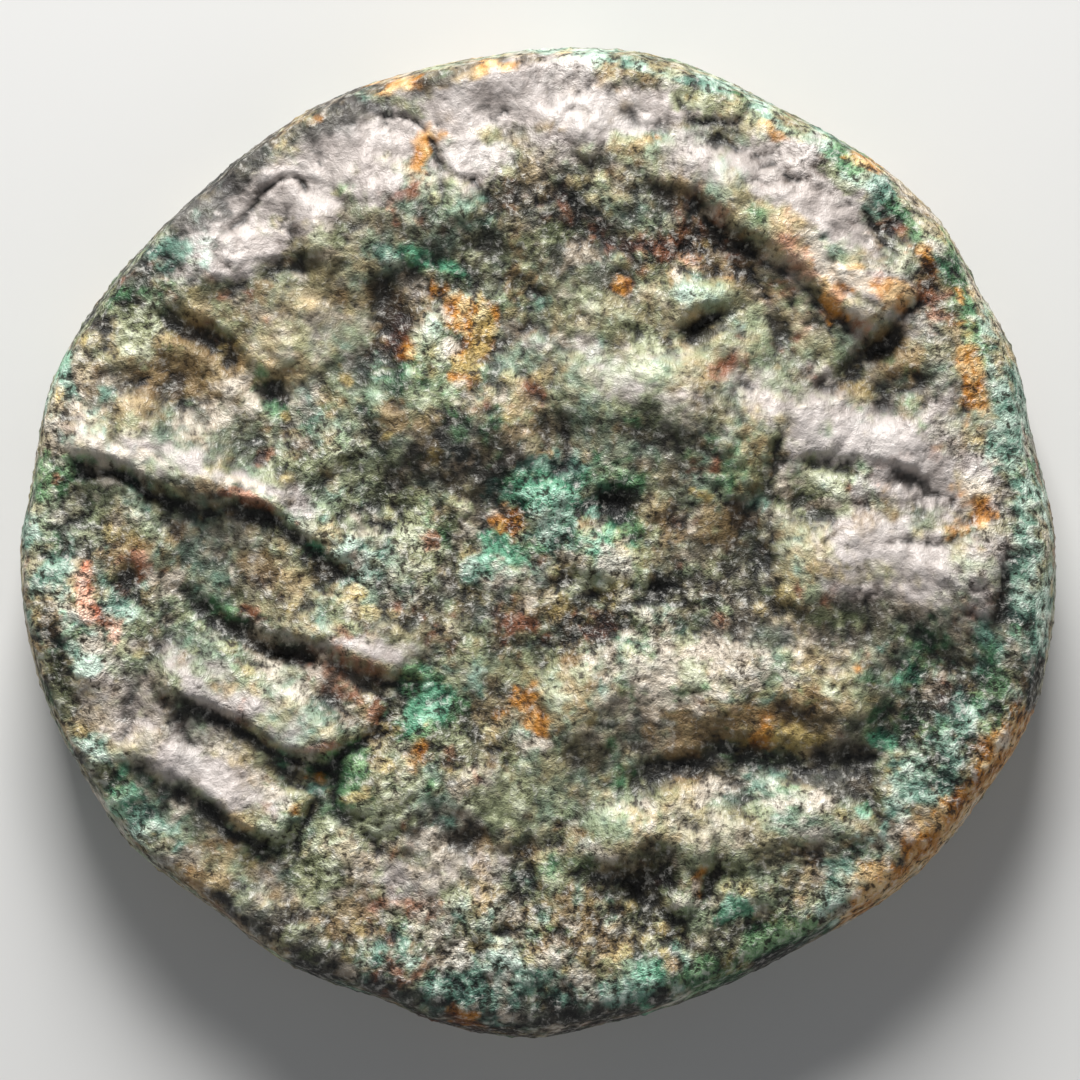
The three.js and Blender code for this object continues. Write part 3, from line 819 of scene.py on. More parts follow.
# Where each crust lies on the figured face
BLOOMS: dict[Crust, tuple[Patch, ...]] = {
    # Pale smooth bronze with a painted sheen, on the plateau, the brow, the muzzle and the lock crests
    Crust.SHEEN: (
        (-5.3, 5.29, 0.79, 0.87, 60, 1.3), (-3.46, 6.6, 1.75, 0.73, 32, 1.4),
        (-1.02, 7.5, 1.66, 0.66, 12, 1.4), (1.07, 7.5, 1.57, 0.52, -5, 1.2),
        (-1.2, 6.68, 0.7, 0.7, 0, 0.9), (4.56, 6.07, 1.66, 0.56, -38, 1.2),
        (3.17, 6.51, 1.05, 0.52, -20, 0.5), (5.79, 4.24, 1.05, 0.52, -35, 0.7),
        (-6.4, 1.5, 1.5, 0.36, -14, 0.7), (-5.21, 0.96, 1.22, 0.26, -10, 1),
        (5.96, 1.45, 1.92, 0.7, -20, 1.1), (6.31, -0.3, 1.57, 0.7, -15, 0.9),
        (4.91, 2.15, 1.57, 0.7, -30, 0.6), (1.77, 2.67, 1.57, 0.44, -25, 0.5),
        (-2.94, -1.87, 1.31, 0.17, -12, 0.7), (-5.21, -2.74, 1.57, 0.35, -25, 0.7),
        (-5.91, -3.96, 1.57, 0.31, -27, 0.8), (-7.13, -2.74, 1.05, 0.7, -20, 0.5),
        (-2.42, -5.88, 1.57, 0.44, 10, 0.6), (-3.64, 3.54, 1.05, 0.87, 0, 0.35),
        (0.2, 7.03, 1.05, 0.52, 0, 0.5), (-2.07, 7.21, 1.05, 0.52, 20, 0.8),
        (2.12, 7.38, 1.22, 0.49, -12, 0.6), (-4.34, 6.16, 0.87, 0.79, 40, 0.8),
        (3.52, 6.68, 0.87, 0.44, -30, 0.6), (7.01, 1.8, 0.87, 0.7, 0, 0.6),
        (7.36, -0.3, 0.7, 0.52, 0, 0.5),
    ),
    Crust.EARTH: (
        (-6.08, 3.02, 1.57, 0.59, -8, 0.9), (-6.78, -0.3, 0.79, 0.52, 0, 0.6),
        (0.2, -6.58, 0.96, 0.49, 0, 0.7), (3.43, 0.31, 0.87, 0.45, 0, 0.8),
        (2.12, 0.23, 0.61, 0.35, 0, 0.5), (-2.59, 3.54, 0.31, 0.87, 8, 0.9),
        (-2.59, 2.15, 0.44, 0.35, 0, 0.6), (3.87, -3, 1.05, 0.49, 0, 0.7),
        (-1.72, 1.97, 0.87, 0.38, 0, 0.5), (-4.69, -0.3, 1.05, 0.28, -20, 0.5),
        (-1.89, 5.46, 0.52, 0.35, 0, 0.5), (2.82, 4.94, 1.05, 0.42, 0, 0.6),
        (-6.26, -5.71, 0.7, 0.21, -35, 0.8), (-4.34, 7.29, 1.05, 0.21, 38, 0.7),
        (-2.42, 7.94, 1.05, 0.17, 18, 0.7), (-0.85, 8.25, 0.87, 0.16, 10, 0.6),
        (7.62, 3.54, 0.21, 0.52, 15, 0.5), (8.05, -3.53, 0.52, 0.87, -25, 0.6),
        (7.18, -4.83, 0.35, 0.87, -40, 0.7),
    ),
    # Mostly painted shade: dark patches in the eye pit, the hollows by the nodules and the jowl, the mouth,
    # the furrows under the locks and along the coin's lower edge, with some dark crust
    Crust.DARK: (
        (1.28, 0.64, 0.5, 0.38, 0, 1.4), (2.21, -0.86, 0.45, 0.31, 0, 1.2),
        (2.96, 3.66, 0.42, 0.33, 0, 0.7), (2.64, -3.82, 1.05, 0.21, 8, 0.9),
        (4.91, -4.05, 0.87, 0.24, -10, 0.6), (1.86, -5.71, 0.45, 0.49, 0, 0.6),
        (-0.41, -5.88, 0.24, 0.7, 0, 0.5), (-1.2, 1.36, 1.05, 0.38, -3, 0.7),
        (-1.89, 1.8, 0.7, 0.21, 0, 0.5), (0.38, 5.64, 1.22, 0.59, 0, 0.5),
        (1.07, 5.11, 0.52, 0.35, 0, 0.4), (6.05, 5.9, 0.24, 0.45, 30, 0.7),
        (1.42, -0.82, 1.4, 0.52, 0, 0.5), (-1.72, -5.01, 0.7, 0.28, 0, 0.5),
        (-7.65, -3.96, 0.79, 0.24, -35, 0.7), (-8.35, -2.74, 0.28, 0.79, 0, 0.6),
        (-5.82, 4.5, 0.44, 0.17, 30, 0.5), (-3.81, -3.44, 0.44, 0.24, 30, 0.5),
        (8.66, -2.57, 0.28, 0.79, 0, 0.8), (-5.03, -1.31, 1.4, 0.16, -30, 0.6),
        (-5.21, -3.12, 1.22, 0.16, -28, 0.6), (-5.56, -4.75, 1.05, 0.16, -30, 0.6),
        (-6.26, 0.89, 1.57, 0.14, -14, 0.6), (-4.16, 0.14, 1.22, 0.16, -35, 0.6),
        (-5.52, 6.3, 1.57, 0.45, 44, 1.3), (-7.16, 4.38, 1.05, 0.38, 52, 1.1),
        (-3.55, 7.42, 1.22, 0.35, 30, 1.1), (-1.89, 8.05, 1.05, 0.21, 16, 0.7),
        (-3.64, -7.07, 1.66, 0.42, -28, 1.2), (-1.02, -8.12, 1.75, 0.38, -8, 1.2),
        (1.42, -8.06, 1.75, 0.38, 6, 1.2), (3.87, -7.19, 1.4, 0.35, 24, 1.1),
        (5.79, -6.09, 1.05, 0.28, 38, 0.9),
    ),
    Crust.PALE_GREEN: (
        (-3.6, -5.6, 1.0, 0.5, -25, 0.7), (-1.6, -6.6, 0.9, 0.5, 0, 0.6), (-0.4, -4.4, 0.7, 0.4, 0, 0.5),
        (-3.0, 1.2, 0.6, 0.4, 0, 0.6), (2.9, -5.6, 0.8, 0.3, 0, 0.6), (-6.0, -1.6, 0.7, 0.3, -20, 0.5),
        (-7.13, 3.89, 0.56, 0.66, 0, 0.8), (-3.55, 5.32, 0.24, 0.21, 0, 0.8),
        (2.64, 7.56, 0.42, 0.21, -15, 0.9), (5.26, 6.34, 0.31, 0.21, -30, 0.9),
        (-2.94, -5.01, 0.7, 0.49, 0, 0.8), (-2.42, -4.31, 0.44, 0.26, 0, 0.5),
        (2.64, -2.39, 0.42, 0.21, 0, 0.6), (2.03, 3.45, 0.32, 0.18, -35, 0.9),
        (1.9, 3.0, 0.2, 0.12, 0, 0.9),
        (4.83, 0.92, 0.59, 0.45, -10, 0.9), (1.77, -1.69, 0.7, 0.28, 0, 0.5),
        (-1.54, 0.05, 1.05, 0.52, 0, 0.5), (-2.42, 0.75, 0.52, 0.28, 0, 0.5),
        (3.87, 4.24, 0.44, 0.52, 0, 0.4),
        (-5.03, 3.72, 0.52, 0.35, 0, 0.4), (1.14, -0.23, 0.62, 0.45, 0, 1.2),
    ),
    Crust.SINTER: (
        # The first two patches lie along the first lock's crest and are partly a painted highlight
        (-5.21, 0.89, 0.87, 0.16, -10, 1), (-6.78, 1.41, 1.05, 0.12, -20, 0.6),
        (-1.54, 3.5, 0.14, 0.18, 0, 1.2), (-1.28, 2.72, 0.31, 0.12, 15, 0.9),
        (-2.05, 4.4, 0.16, 0.10, 0, 0.9), (-1.75, 4.05, 0.12, 0.12, 0, 0.9),
        (1.28, -0.26, 0.42, 0.28, 0, 1.1),
        (0.55, -0.3, 0.44, 0.24, 0, 0.9), (3.52, -2.13, 1.05, 0.38, -5, 0.6),
        (2.64, -2.74, 0.7, 0.21, 10, 0.4), (0.03, -3.4, 0.24, 0.14, 0, 0.9),
        (-3.29, -3.09, 0.52, 0.17, -35, 0.6), (-4.69, -4.31, 0.52, 0.17, -30, 0.5),
        (2.64, -4.31, 1.05, 0.28, 5, 0.5), (4.56, -4.49, 1.05, 0.28, 0, 0.4),
        (4.91, 0.66, 0.35, 0.14, 0, 0.9), (0.38, -7.45, 1.22, 0.52, 0, 0.5),
        (2.64, -5.88, 0.31, 0.44, 0, 0.6), (-8.18, -1.34, 0.7, 0.35, 0, 0.5),
        (-1.02, 2.5, 0.44, 0.17, 20, 0.5), (6.31, 5.99, 0.52, 0.17, -45, 0.6),
        # These three at the brow's lower end are partly a painted glint
        (5.35, 4.5, 0.5, 0.14, -38, 1.2), (5.55, 3.9, 0.3, 0.12, -30, 1.1),
        (4.83, 4.9, 0.35, 0.12, -40, 1.1),
        (6.75, 5.2, 0.31, 0.17, -50, 0.7),
    ),
    Crust.MALACHITE: (
        (5.35, 6.68, 0.44, 0.17, -32, 0.9), (6.4, 5.72, 0.49, 0.17, -48, 0.8),
        (7.18, 4.76, 0.21, 0.56, 22, 0.9), (7.53, 3.54, 0.17, 0.79, 16, 0.8),
        (3.52, 7.64, 0.42, 0.14, -30, 0.7), (4.3, -6.67, 0.96, 0.38, 22, 0.9),
        (2.82, -7.45, 1.05, 0.28, 14, 0.7), (6.4, -3.26, 0.61, 0.45, 0, 0.6),
        (7.79, -2.65, 0.28, 0.79, -8, 0.6), (-1.63, 4.76, 0.52, 0.16, -15, 0.9),
        (-1.98, -2.88, 0.66, 0.45, 0, 0.9), (-8.18, 1.24, 0.45, 0.42, 0, 0.8),
        (-0.24, -0.12, 0.52, 0.17, 0, 0.8), (-0.32, 1.1, 0.35, 0.21, 0, 0.6),
        (1.42, 0.14, 0.38, 0.21, 0, 0.7), (-4.6, 2.41, 0.31, 0.24, 0, 0.7),
        (-3.46, -3.79, 0.44, 0.31, 0, 0.7), (-3.9, -2.39, 0.38, 0.17, -20, 0.5),
        (-5.38, -0.99, 0.7, 0.21, -35, 0.6),
    ),
    Crust.VERDIGRIS: (
        (1.07, 8.39, 1.05, 0.24, -4, 0.9), (2.47, 8.08, 0.87, 0.24, -22, 0.8),
        (3.87, 7.47, 0.79, 0.24, -32, 0.8), (5.09, 6.77, 0.7, 0.24, -40, 0.7),
        (6.13, 5.9, 0.61, 0.23, -46, 0.7), (7.01, 4.76, 0.52, 0.21, -58, 0.7),
        (7.53, 3.72, 0.52, 0.21, -65, 0.8), (8.14, 2.15, 0.31, 1.22, 8, 1),
        (8.49, 0.4, 0.31, 1.05, 3, 0.9), (8.4, -0.99, 0.38, 0.96, 0, 0.9),
        (7.79, -1.69, 0.38, 0.52, 0, 0.7), (7.44, -3, 0.52, 0.61, 0, 0.8),
        (6.66, -4.14, 0.52, 0.42, 40, 0.8), (5.96, -5.01, 0.49, 0.38, 35, 0.8),
        (5.09, -5.88, 0.61, 0.35, 30, 0.8), (1.77, -7.71, 0.79, 0.24, 8, 0.6),
        (0.38, -7.28, 0.52, 0.35, 0, 0.5), (-8.09, 2.58, 0.38, 0.59, 15, 0.9),
        (-8.73, 0.31, 0.17, 0.44, 0, 0.9), (-8, -1.69, 0.7, 0.45, 0, 0.8),
        (-8.35, -0.82, 0.26, 0.7, 0, 0.7), (-7.22, -0.99, 0.35, 0.7, 0, 0.5),
        (-6.69, -4.83, 0.38, 0.52, 20, 0.9), (-7.48, -3.53, 0.42, 0.31, 30, 0.6),
        (-3.29, -0.09, 0.56, 0.42, -20, 0.8), (-0.85, -0.21, 0.44, 0.31, 0, 0.7),
        (-1.5, 4.72, 0.34, 0.1, -15, 1), (-1.15, 4.5, 0.12, 0.1, 0, 0.8),
        (0.11, 0.89, 0.72, 0.62, 0, 1.4), (0.41, 0.4, 0.34, 0.35, 0, 1.2),
        (-3.81, -4.22, 0.17, 0.17, 0, 1), (-6.08, 5.03, 0.52, 0.49, 40, 0.5),
        (-1.2, -7.98, 0.52, 0.21, 0, 0.5), (-1.02, -7.54, 1.05, 0.38, -8, 0.9),
        (0.38, -7.71, 0.87, 0.31, 0, 0.8), (1.95, -7.59, 0.87, 0.35, 10, 0.8),
        (-2.42, -7.19, 0.87, 0.44, -20, 0.6), (6.83, -3.44, 0.52, 0.7, 20, 0.7),
    ),
    Crust.TURQUOISE: (
        (0.2, 0.99, 0.52, 0.38, 10, 1.5), (-0.27, 0.7, 0.31, 0.24, 0, 1.2),
        (-0.71, -0.09, 0.45, 0.26, -10, 0.9), (1.18, -0.07, 0.38, 0.3, 0, 1.0),
        (-2, -2.84, 0.49, 0.31, 10, 1.4), (-1.82, 4.82, 0.45, 0.14, -15, 1.3),
        (-3.81, -0.12, 0.21, 0.19, 0, 1.2), (-4.39, -3.79, 0.14, 0.16, 0, 1.2),
        (-7.18, -4.35, 0.31, 0.31, 0, 1.1), (-4.21, 7.78, 0.35, 0.12, 25, 1.0),
        (6.57, -2.39, 0.35, 0.24, 20, 1.0), (5.87, -3.44, 0.31, 0.24, 30, 1.0),
        (-8.32, 3.33, 0.21, 0.42, 15, 1.0), (-8.14, -1.48, 0.28, 0.21, 0, 1.0),
        (5.61, -4.49, 0.24, 0.21, 30, 0.9), (1.95, -7.36, 0.28, 0.17, 0, 0.9),
        (3.34, -6.32, 0.35, 0.21, 10, 0.9), (1.77, -7.98, 0.24, 0.14, 0, 0.9),
    ),
    Crust.CUPRITE: (
        (-4.95, 0.54, 0.56, 0.12, -12, 0.9), (-3.81, -2.13, 0.42, 0.24, -25, 0.9),
        (-3.64, -3.53, 0.38, 0.12, 0, 0.8), (-2.77, -2.91, 0.35, 0.14, 50, 0.8),
        (-8.39, 1.19, 0.14, 0.16, 0, 0.7), (-6.78, -0.65, 0.49, 0.35, 0, 0.5),
        (0.55, -1.34, 0.87, 0.35, 0, 0.4), (-2.5, 3.8, 0.17, 0.44, 0, 0.7),
        (-1.98, 0.05, 0.14, 0.14, 0, 0.7), (6.83, 4.24, 0.24, 0.45, 25, 0.6),
        (2.82, -1.26, 0.61, 0.21, 0, 0.5), (-2.24, -6.32, 0.7, 0.24, 0, 0.5),
        (6.22, 5.46, 0.21, 0.42, 30, 0.6), (1.77, 5.11, 0.52, 0.24, 0, 0.4),
    ),
    Crust.OCHRE: (
        (-3.38, -0.82, 0.19, 0.19, 0, 0.9), (-4.34, -1.08, 0.17, 0.16, 0, 0.9),
        (-3.17, -4.31, 0.21, 0.14, 0, 0.9), (2.91, 0.79, 0.14, 0.12, 0, 1),
        (-2.68, 1.83, 0.16, 0.14, 0, 0.8), (-3.2, 2.84, 0.16, 0.14, 0, 0.7),
        (-4.51, 2.15, 0.16, 0.16, 0, 1), (-1.02, 3.19, 0.24, 0.49, 0, 0.6),
        (2.64, 7.59, 0.24, 0.14, 0, 0.6), (4.39, -3.35, 0.7, 0.24, 0, 0.5),
        (-0.98, 3.9, 0.14, 0.3, 0, 1), (-1.3, 3.1, 0.16, 0.14, 0, 0.9),
    ),
    Crust.RUST: (
        (-1.37, 4.05, 0.23, 0.26, 20, 1.2), (-1.16, 3.45, 0.21, 0.38, 10, 1.2),
        (-1.79, 4.36, 0.18, 0.12, 30, 0.9), (-1.2, 2.85, 0.26, 0.14, 0, 0.7),
        (-0.95, 4.0, 0.16, 0.21, 0, 0.9), (-2.24, 3.45, 0.12, 0.24, 20, 0.9),
        (-2.05, 6.82, 0.23, 0.35, 0, 0.9), (-1.72, 7.03, 0.17, 0.14, 0, 0.5),
        (1.46, 4.5, 0.16, 0.16, 0, 0.7), (3.95, 7.24, 0.49, 0.14, -25, 0.9),
        (5.75, 6.51, 0.31, 0.14, -20, 0.9), (6.66, 4.97, 0.16, 0.45, 18, 0.9),
        (7.23, 4.1, 0.16, 0.35, 10, 0.9), (7.5, 3.19, 0.16, 0.38, 5, 1), (7.5, 2.5, 0.16, 0.45, 0, 1),
        (7.53, 0.61, 0.52, 0.28, 0, 0.9), (5.44, -2.25, 0.12, 0.1, 0, 0.7),
        (3.9, -3.35, 0.21, 0.21, 0, 0.6), (-0.06, -2.95, 0.31, 0.28, 0, 0.9),
        (-2.12, -3.61, 0.28, 0.35, 0, 0.7), (-1.28, -8.18, 0.23, 0.16, 0, 0.8),
        (2.68, -5.81, 0.1, 0.21, 0, 0.8), (-4.16, -4.66, 0.12, 0.1, 0, 0.8),
        (-3.85, -4, 0.14, 0.12, 0, 0.8), (-2.24, 7.94, 0.49, 0.12, 16, 0.8),
        (-0.67, 8.22, 0.38, 0.1, 8, 0.7), (-3.99, 7.31, 0.24, 0.1, 32, 0.6),
        (8, -3.53, 0.38, 0.52, -22, 1.4), (7.36, -4.49, 0.34, 0.66, -35, 1.4),
        (6.75, -5.27, 0.29, 0.63, -42, 1.4), (5.96, -5.97, 0.25, 0.52, -48, 1.4),
        (2.09, 6.86, 0.31, 0.1, 0, 0.6), (4.9, 4.7, 0.3, 0.14, -40, 1.2), (6.3, 4.35, 0.3, 0.16, -20, 1),
        (5.05, 4.07, 0.31, 0.17, -30, 1.1), (5.96, 4.24, 0.52, 0.28, -15, 1.1),
        (5.44, 3.86, 0.38, 0.12, -20, 1), (-0.5, 0.38, 0.24, 0.24, 0, 1.1),
    ),
    Crust.COPPER: (
        (-7.79, -0.99, 0.21, 0.56, 3, 1.4), (-7.3, -1.66, 0.17, 0.23, 0, 1.2),
    ),
}
# Painted light and shade, with some patina tone: where the coin is painted paler, or darker where the
# strength is negative. The darker rows lie along the coin's edge, in hollows and furrows and below the
# ridges, and the paler ones lie on raised forms that face the light
TONES_AND_PAINTED_LIGHT: tuple[Patch, ...] = (
    (-1.02, -8.3, 2.2, 0.3, -8, -0.5), (1.6, -8.25, 2.0, 0.3, 6, -0.5), (-3.8, -7.3, 1.6, 0.3, -28, -0.45),
    (4.0, -7.4, 1.4, 0.3, 24, -0.5), (-5.7, 6.5, 1.8, 0.28, 44, -0.5), (-7.4, 4.6, 1.2, 0.28, 52, -0.4),
    (-3.6, 7.65, 1.4, 0.22, 30, -0.45), (-8.4, -2.2, 0.3, 1.4, 12, -0.3), (8.6, -2.2, 0.25, 1.2, -8, -0.4),
    (-1.0, 6.9, 1.3, 0.5, 8, 0.3), (1.4, 7.2, 1.2, 0.4, -8, 0.3), (-0.5, 5.2, 0.9, 0.7, 0, -0.2),
    (-3.12, 6.68, 1.57, 1.05, 30, 0.12), (0.38, 7.47, 2.79, 0.7, 0, 0.25),
    (4.56, 5.46, 1.92, 0.7, -38, 0.25), (-5.21, 5.29, 1.05, 0.87, 45, 0.08),
    (-6.26, 1.54, 2.09, 0.44, -14, 0.15), (2.12, 3.02, 1.05, 0.52, -15, 0.25),
    (-1.72, 3.37, 1.05, 1.05, 0, 0.15), (5.61, 1.62, 2.44, 0.79, -12, 0.3),
    (6.31, -0.21, 2.09, 0.7, -10, 0.25), (2.82, -2.22, 2.62, 0.52, 0, 0.25),
    (3.17, -4.57, 2.44, 0.49, 0, 0.25), (-2.24, -3.44, 1.22, 0.7, 0, 0.1),
    (-3.29, -5.18, 1.05, 0.7, 0, 0.15), (-0.32, -6.93, 0.87, 1.05, 0, 0.1),
    (-4.34, -2.65, 1.57, 0.52, -20, 0.25), (-5.56, -4.05, 1.57, 0.52, -27, 0.25),
    (-7.83, -1.34, 0.87, 1.05, 0, 0.25), (0.03, -0.03, 1.57, 0.7, 0, 0.15), (1.1, -0.25, 0.6, 0.4, 0, 0.3),
    (4.21, 3.54, 0.7, 0.7, 0, 0.2), (-3.46, -1.17, 1.4, 0.35, -10, 0.15),
    (-2.85, 5.29, 0.87, 0.44, 0, -0.3), (-0.32, 5.38, 2.27, 0.87, 0, -0.3),
    (-2.68, 3.46, 0.35, 1.31, 0, -0.3), (-3.99, 1.36, 0.44, 0.44, 0, -0.2),
    (-1.02, 1.45, 1.4, 0.7, 0, -0.45), (1.28, 0.62, 0.5, 0.35, 0, -0.6),
    (2.12, -0.99, 0.44, 0.31, 0, -0.3), (2.82, -0.3, 1.22, 1.22, 0, -0.25),
    (1.95, 1.88, 1.92, 0.52, 0, -0.2), (4.91, -1.26, 2.79, 0.52, -5, -0.3),
    (1.77, -5.71, 0.79, 0.38, 0, -0.35), (6.83, -2.74, 1.22, 1.05, 0, -0.25),
    (3.69, -3.44, 2.27, 0.52, 0, -0.28), (2.64, 4.5, 0.79, 0.38, 0, 0.2),
    (2.64, 5.72, 1.57, 0.28, -20, -0.15), (1.07, 3.72, 1.05, 0.87, 0, 0.12),
    (-3.64, 1.27, 0.52, 0.26, -20, -0.2), (-7.13, 3.72, 0.7, 0.7, 0, 0.1),
    (-4.16, 3.54, 1.4, 0.87, 0, 0.08), (-0.58, -0.82, 2.09, 0.52, 0, -0.05),
    (0.38, -1.34, 1.4, 0.44, 0, -0.2), (3.87, -0.3, 1.4, 0.35, -8, -0.1),
)
# Where the skin is a granular crust. Elsewhere it is calmer
CRUSTED: tuple[Patch, ...] = (
    (-0.32, -6.75, 4.01, 1.48, 0, 1), (-2.42, -0.3, 2.27, 1.22, -10, 0.9),
    (-3.64, 1.8, 1.05, 0.7, 0, 0.7), (-6.26, 4.76, 1.05, 0.7, 45, 0.5),
    (-7.83, -0.99, 1.22, 2.27, 0, 0.9), (0.38, 0.23, 1.48, 1.05, 0, 1),
    (-2.07, -3.44, 1.75, 1.05, 0, 0.8), (-3.81, -5.36, 1.4, 0.87, -30, 0.7),
    (4.21, -6.58, 2.27, 0.96, 25, 1), (7.18, -3.44, 1.05, 1.57, -20, 1),
    (2.99, -0.99, 1.05, 0.52, 0, 0.8), (1.07, -1.34, 1.66, 0.87, 0, 0.9),
    (-1.54, 3.72, 1.22, 1.31, 0, 0.7), (2.47, 5.11, 1.22, 0.61, 0, 0.7),
    (-7.13, 4.07, 0.87, 0.7, 0, 0.6), (8.05, 0.75, 0.87, 2.79, 3, 0.8),
    (6.83, 4.24, 0.87, 1.57, 25, 0.7), (4.91, 6.86, 1.57, 0.61, -40, 0.6),
    (1.77, 8.25, 2.44, 0.52, -8, 0.6), (5.26, 0.92, 0.87, 0.61, 0, 0.5),
    (4.21, -4.66, 2.09, 0.79, 0, 0.5), (3.52, -2.22, 1.22, 0.52, 0, 0.5),
    (-5.21, -1.69, 1.57, 0.7, -20, 0.5), (0.38, 5.99, 2.09, 0.87, 0, 0.5),
    (-6.08, -2.74, 1.57, 1.05, 0, 0.4),
)


class Wiring:
    """Short ways to add nodes to a tree and join them."""

    def __init__(self, tree: bpy.types.NodeTree) -> None:
        """Takes hold of a tree.

        Args:
            tree: the tree that nodes are added to.
        """
        self.nodes = tree.nodes
        self.links = tree.links

    def add(self, kind: str, **settings: object) -> bpy.types.Node:
        """Adds a node.

        Args:
            kind: Blender's name for its kind.
            settings: its properties by name.

        Returns:
            The new node.
        """
        node = self.nodes.new(kind)
        for name, value in settings.items():
            setattr(node, name, value)
        return node

    def feed(self, socket: bpy.types.NodeSocket, value: object) -> None:
        """Joins an input to a socket, or sets it to a value.

        Args:
            socket: the input.
            value: a socket, a number or a colour.
        """
        if isinstance(value, bpy.types.NodeSocket):
            self.links.new(value, socket)
        else:
            socket.default_value = value

    def math(self, operation: str, first: object, second: object) -> bpy.types.NodeSocket:
        """Works out one number from two.

        Args:
            operation: Blender's name for the sum.
            first: a socket or a number.
            second: a socket or a number.

        Returns:
            The socket with the result.
        """
        node = self.add("ShaderNodeMath", operation=operation)
        self.feed(node.inputs[0], first)
        self.feed(node.inputs[1], second)
        return node.outputs[0]

    def scaled(self, vector: bpy.types.NodeSocket, factor: object) -> bpy.types.NodeSocket:
        """Makes a vector longer.

        Args:
            vector: the vector's socket.
            factor: a socket or a number.

        Returns:
            The socket with the result.
        """
        node = self.add("ShaderNodeVectorMath", operation="SCALE")
        self.feed(node.inputs[0], vector)
        self.feed(node.inputs["Scale"], factor)
        return node.outputs[0]

    def ramp(
        self, value: object, low: float, high: float, start: float = 0.0, end: float = 1.0,
    ) -> bpy.types.NodeSocket:
        """Maps a value smoothly from low..high to start..end.

        Args:
            value: a socket or a number.
            low: the value that gives start.
            high: the value that gives end.
            start: the result below low.
            end: the result above high.

        Returns:
            The socket with the result.
        """
        node = self.add("ShaderNodeMapRange", interpolation_type="SMOOTHSTEP")
        self.feed(node.inputs["Value"], value)
        for name, number in (("From Min", low), ("From Max", high), ("To Min", start), ("To Max", end)):
            node.inputs[name].default_value = number
        return node.outputs[0]


class SkinWiring(Wiring):
    """Patterns of a Geometry Nodes tree, each as wide as one of the tree's named inputs says."""

    def __init__(self, tree: bpy.types.NodeTree, names: list[str]) -> None:
        """Gives the tree its inputs and its output.

        Args:
            tree: an empty tree.
            names: what its inputs for numbers are called.
        """
        super().__init__(tree)
        for way in ("INPUT", "OUTPUT"):
            tree.interface.new_socket("Geometry", in_out=way, socket_type="NodeSocketGeometry")
        for name in names:
            tree.interface.new_socket(name, in_out="INPUT", socket_type="NodeSocketFloat")
        self.source = self.add("NodeGroupInput").outputs
        self.sink = self.add("NodeGroupOutput").inputs
        self.place = self.scaled(self.add("GeometryNodeInputPosition").outputs[0], 1 / MM)

    def texture(self, kind: str, width: str, shift: float, **settings: object) -> bpy.types.Node:
        """Adds a texture in four dimensions, of which the last is the seed.

        Args:
            kind: Blender's name for the texture.
            width: the named input that says how wide its hills or cells are.
            shift: added to the seed.
            settings: the node's properties by name.

        Returns:
            The new node.
        """
        node = self.add(kind, **settings)
        self.feed(node.inputs["Vector"], self.place)
        self.feed(node.inputs["W"], self.math("ADD", self.source["Seed"], shift))
        self.feed(node.inputs["Scale"], self.math("DIVIDE", 1.0, self.source[width]))
        return node

    def noise(self, width: str, detail: float, shift: float, rough: float = 0.6) -> bpy.types.NodeSocket:
        """Adds noise from -1 to 1.

        Args:
            width: the named input that says how wide its hills are.
            detail: how many finer layers it has.
            shift: added to the seed.
            rough: the height of each layer against the last.

        Returns:
            The socket with the noise.
        """
        node = self.texture("ShaderNodeTexNoise", width, shift, noise_dimensions="4D")
        node.inputs["Detail"].default_value = detail
        node.inputs["Roughness"].default_value = rough
        return self.math("MULTIPLY", self.math("SUBTRACT", node.outputs[0], 0.5), 2.0)

    def domes(self, width: str, reach: float, shift: float) -> bpy.types.NodeSocket:
        """Adds round domes from 0 to 1, one to a cell.

        Args:
            width: the named input that says how wide a cell is.
            reach: a dome's radius as a share of it.
            shift: added to the seed.

        Returns:
            The socket with the domes.
        """
        node = self.texture("ShaderNodeTexVoronoi", width, shift, voronoi_dimensions="4D", feature="F1")
        return self.ramp(node.outputs["Distance"], 0.0, reach, 1.0, 0.0)

    def named(self, attribute: str) -> bpy.types.NodeSocket:
        """Adds a node that reads a number stored on the mesh.

        Args:
            attribute: what it is stored as.

        Returns:
            The socket with the number.
        """
        node = self.add("GeometryNodeInputNamedAttribute", data_type="FLOAT")
        node.inputs["Name"].default_value = attribute
        return node.outputs[0]


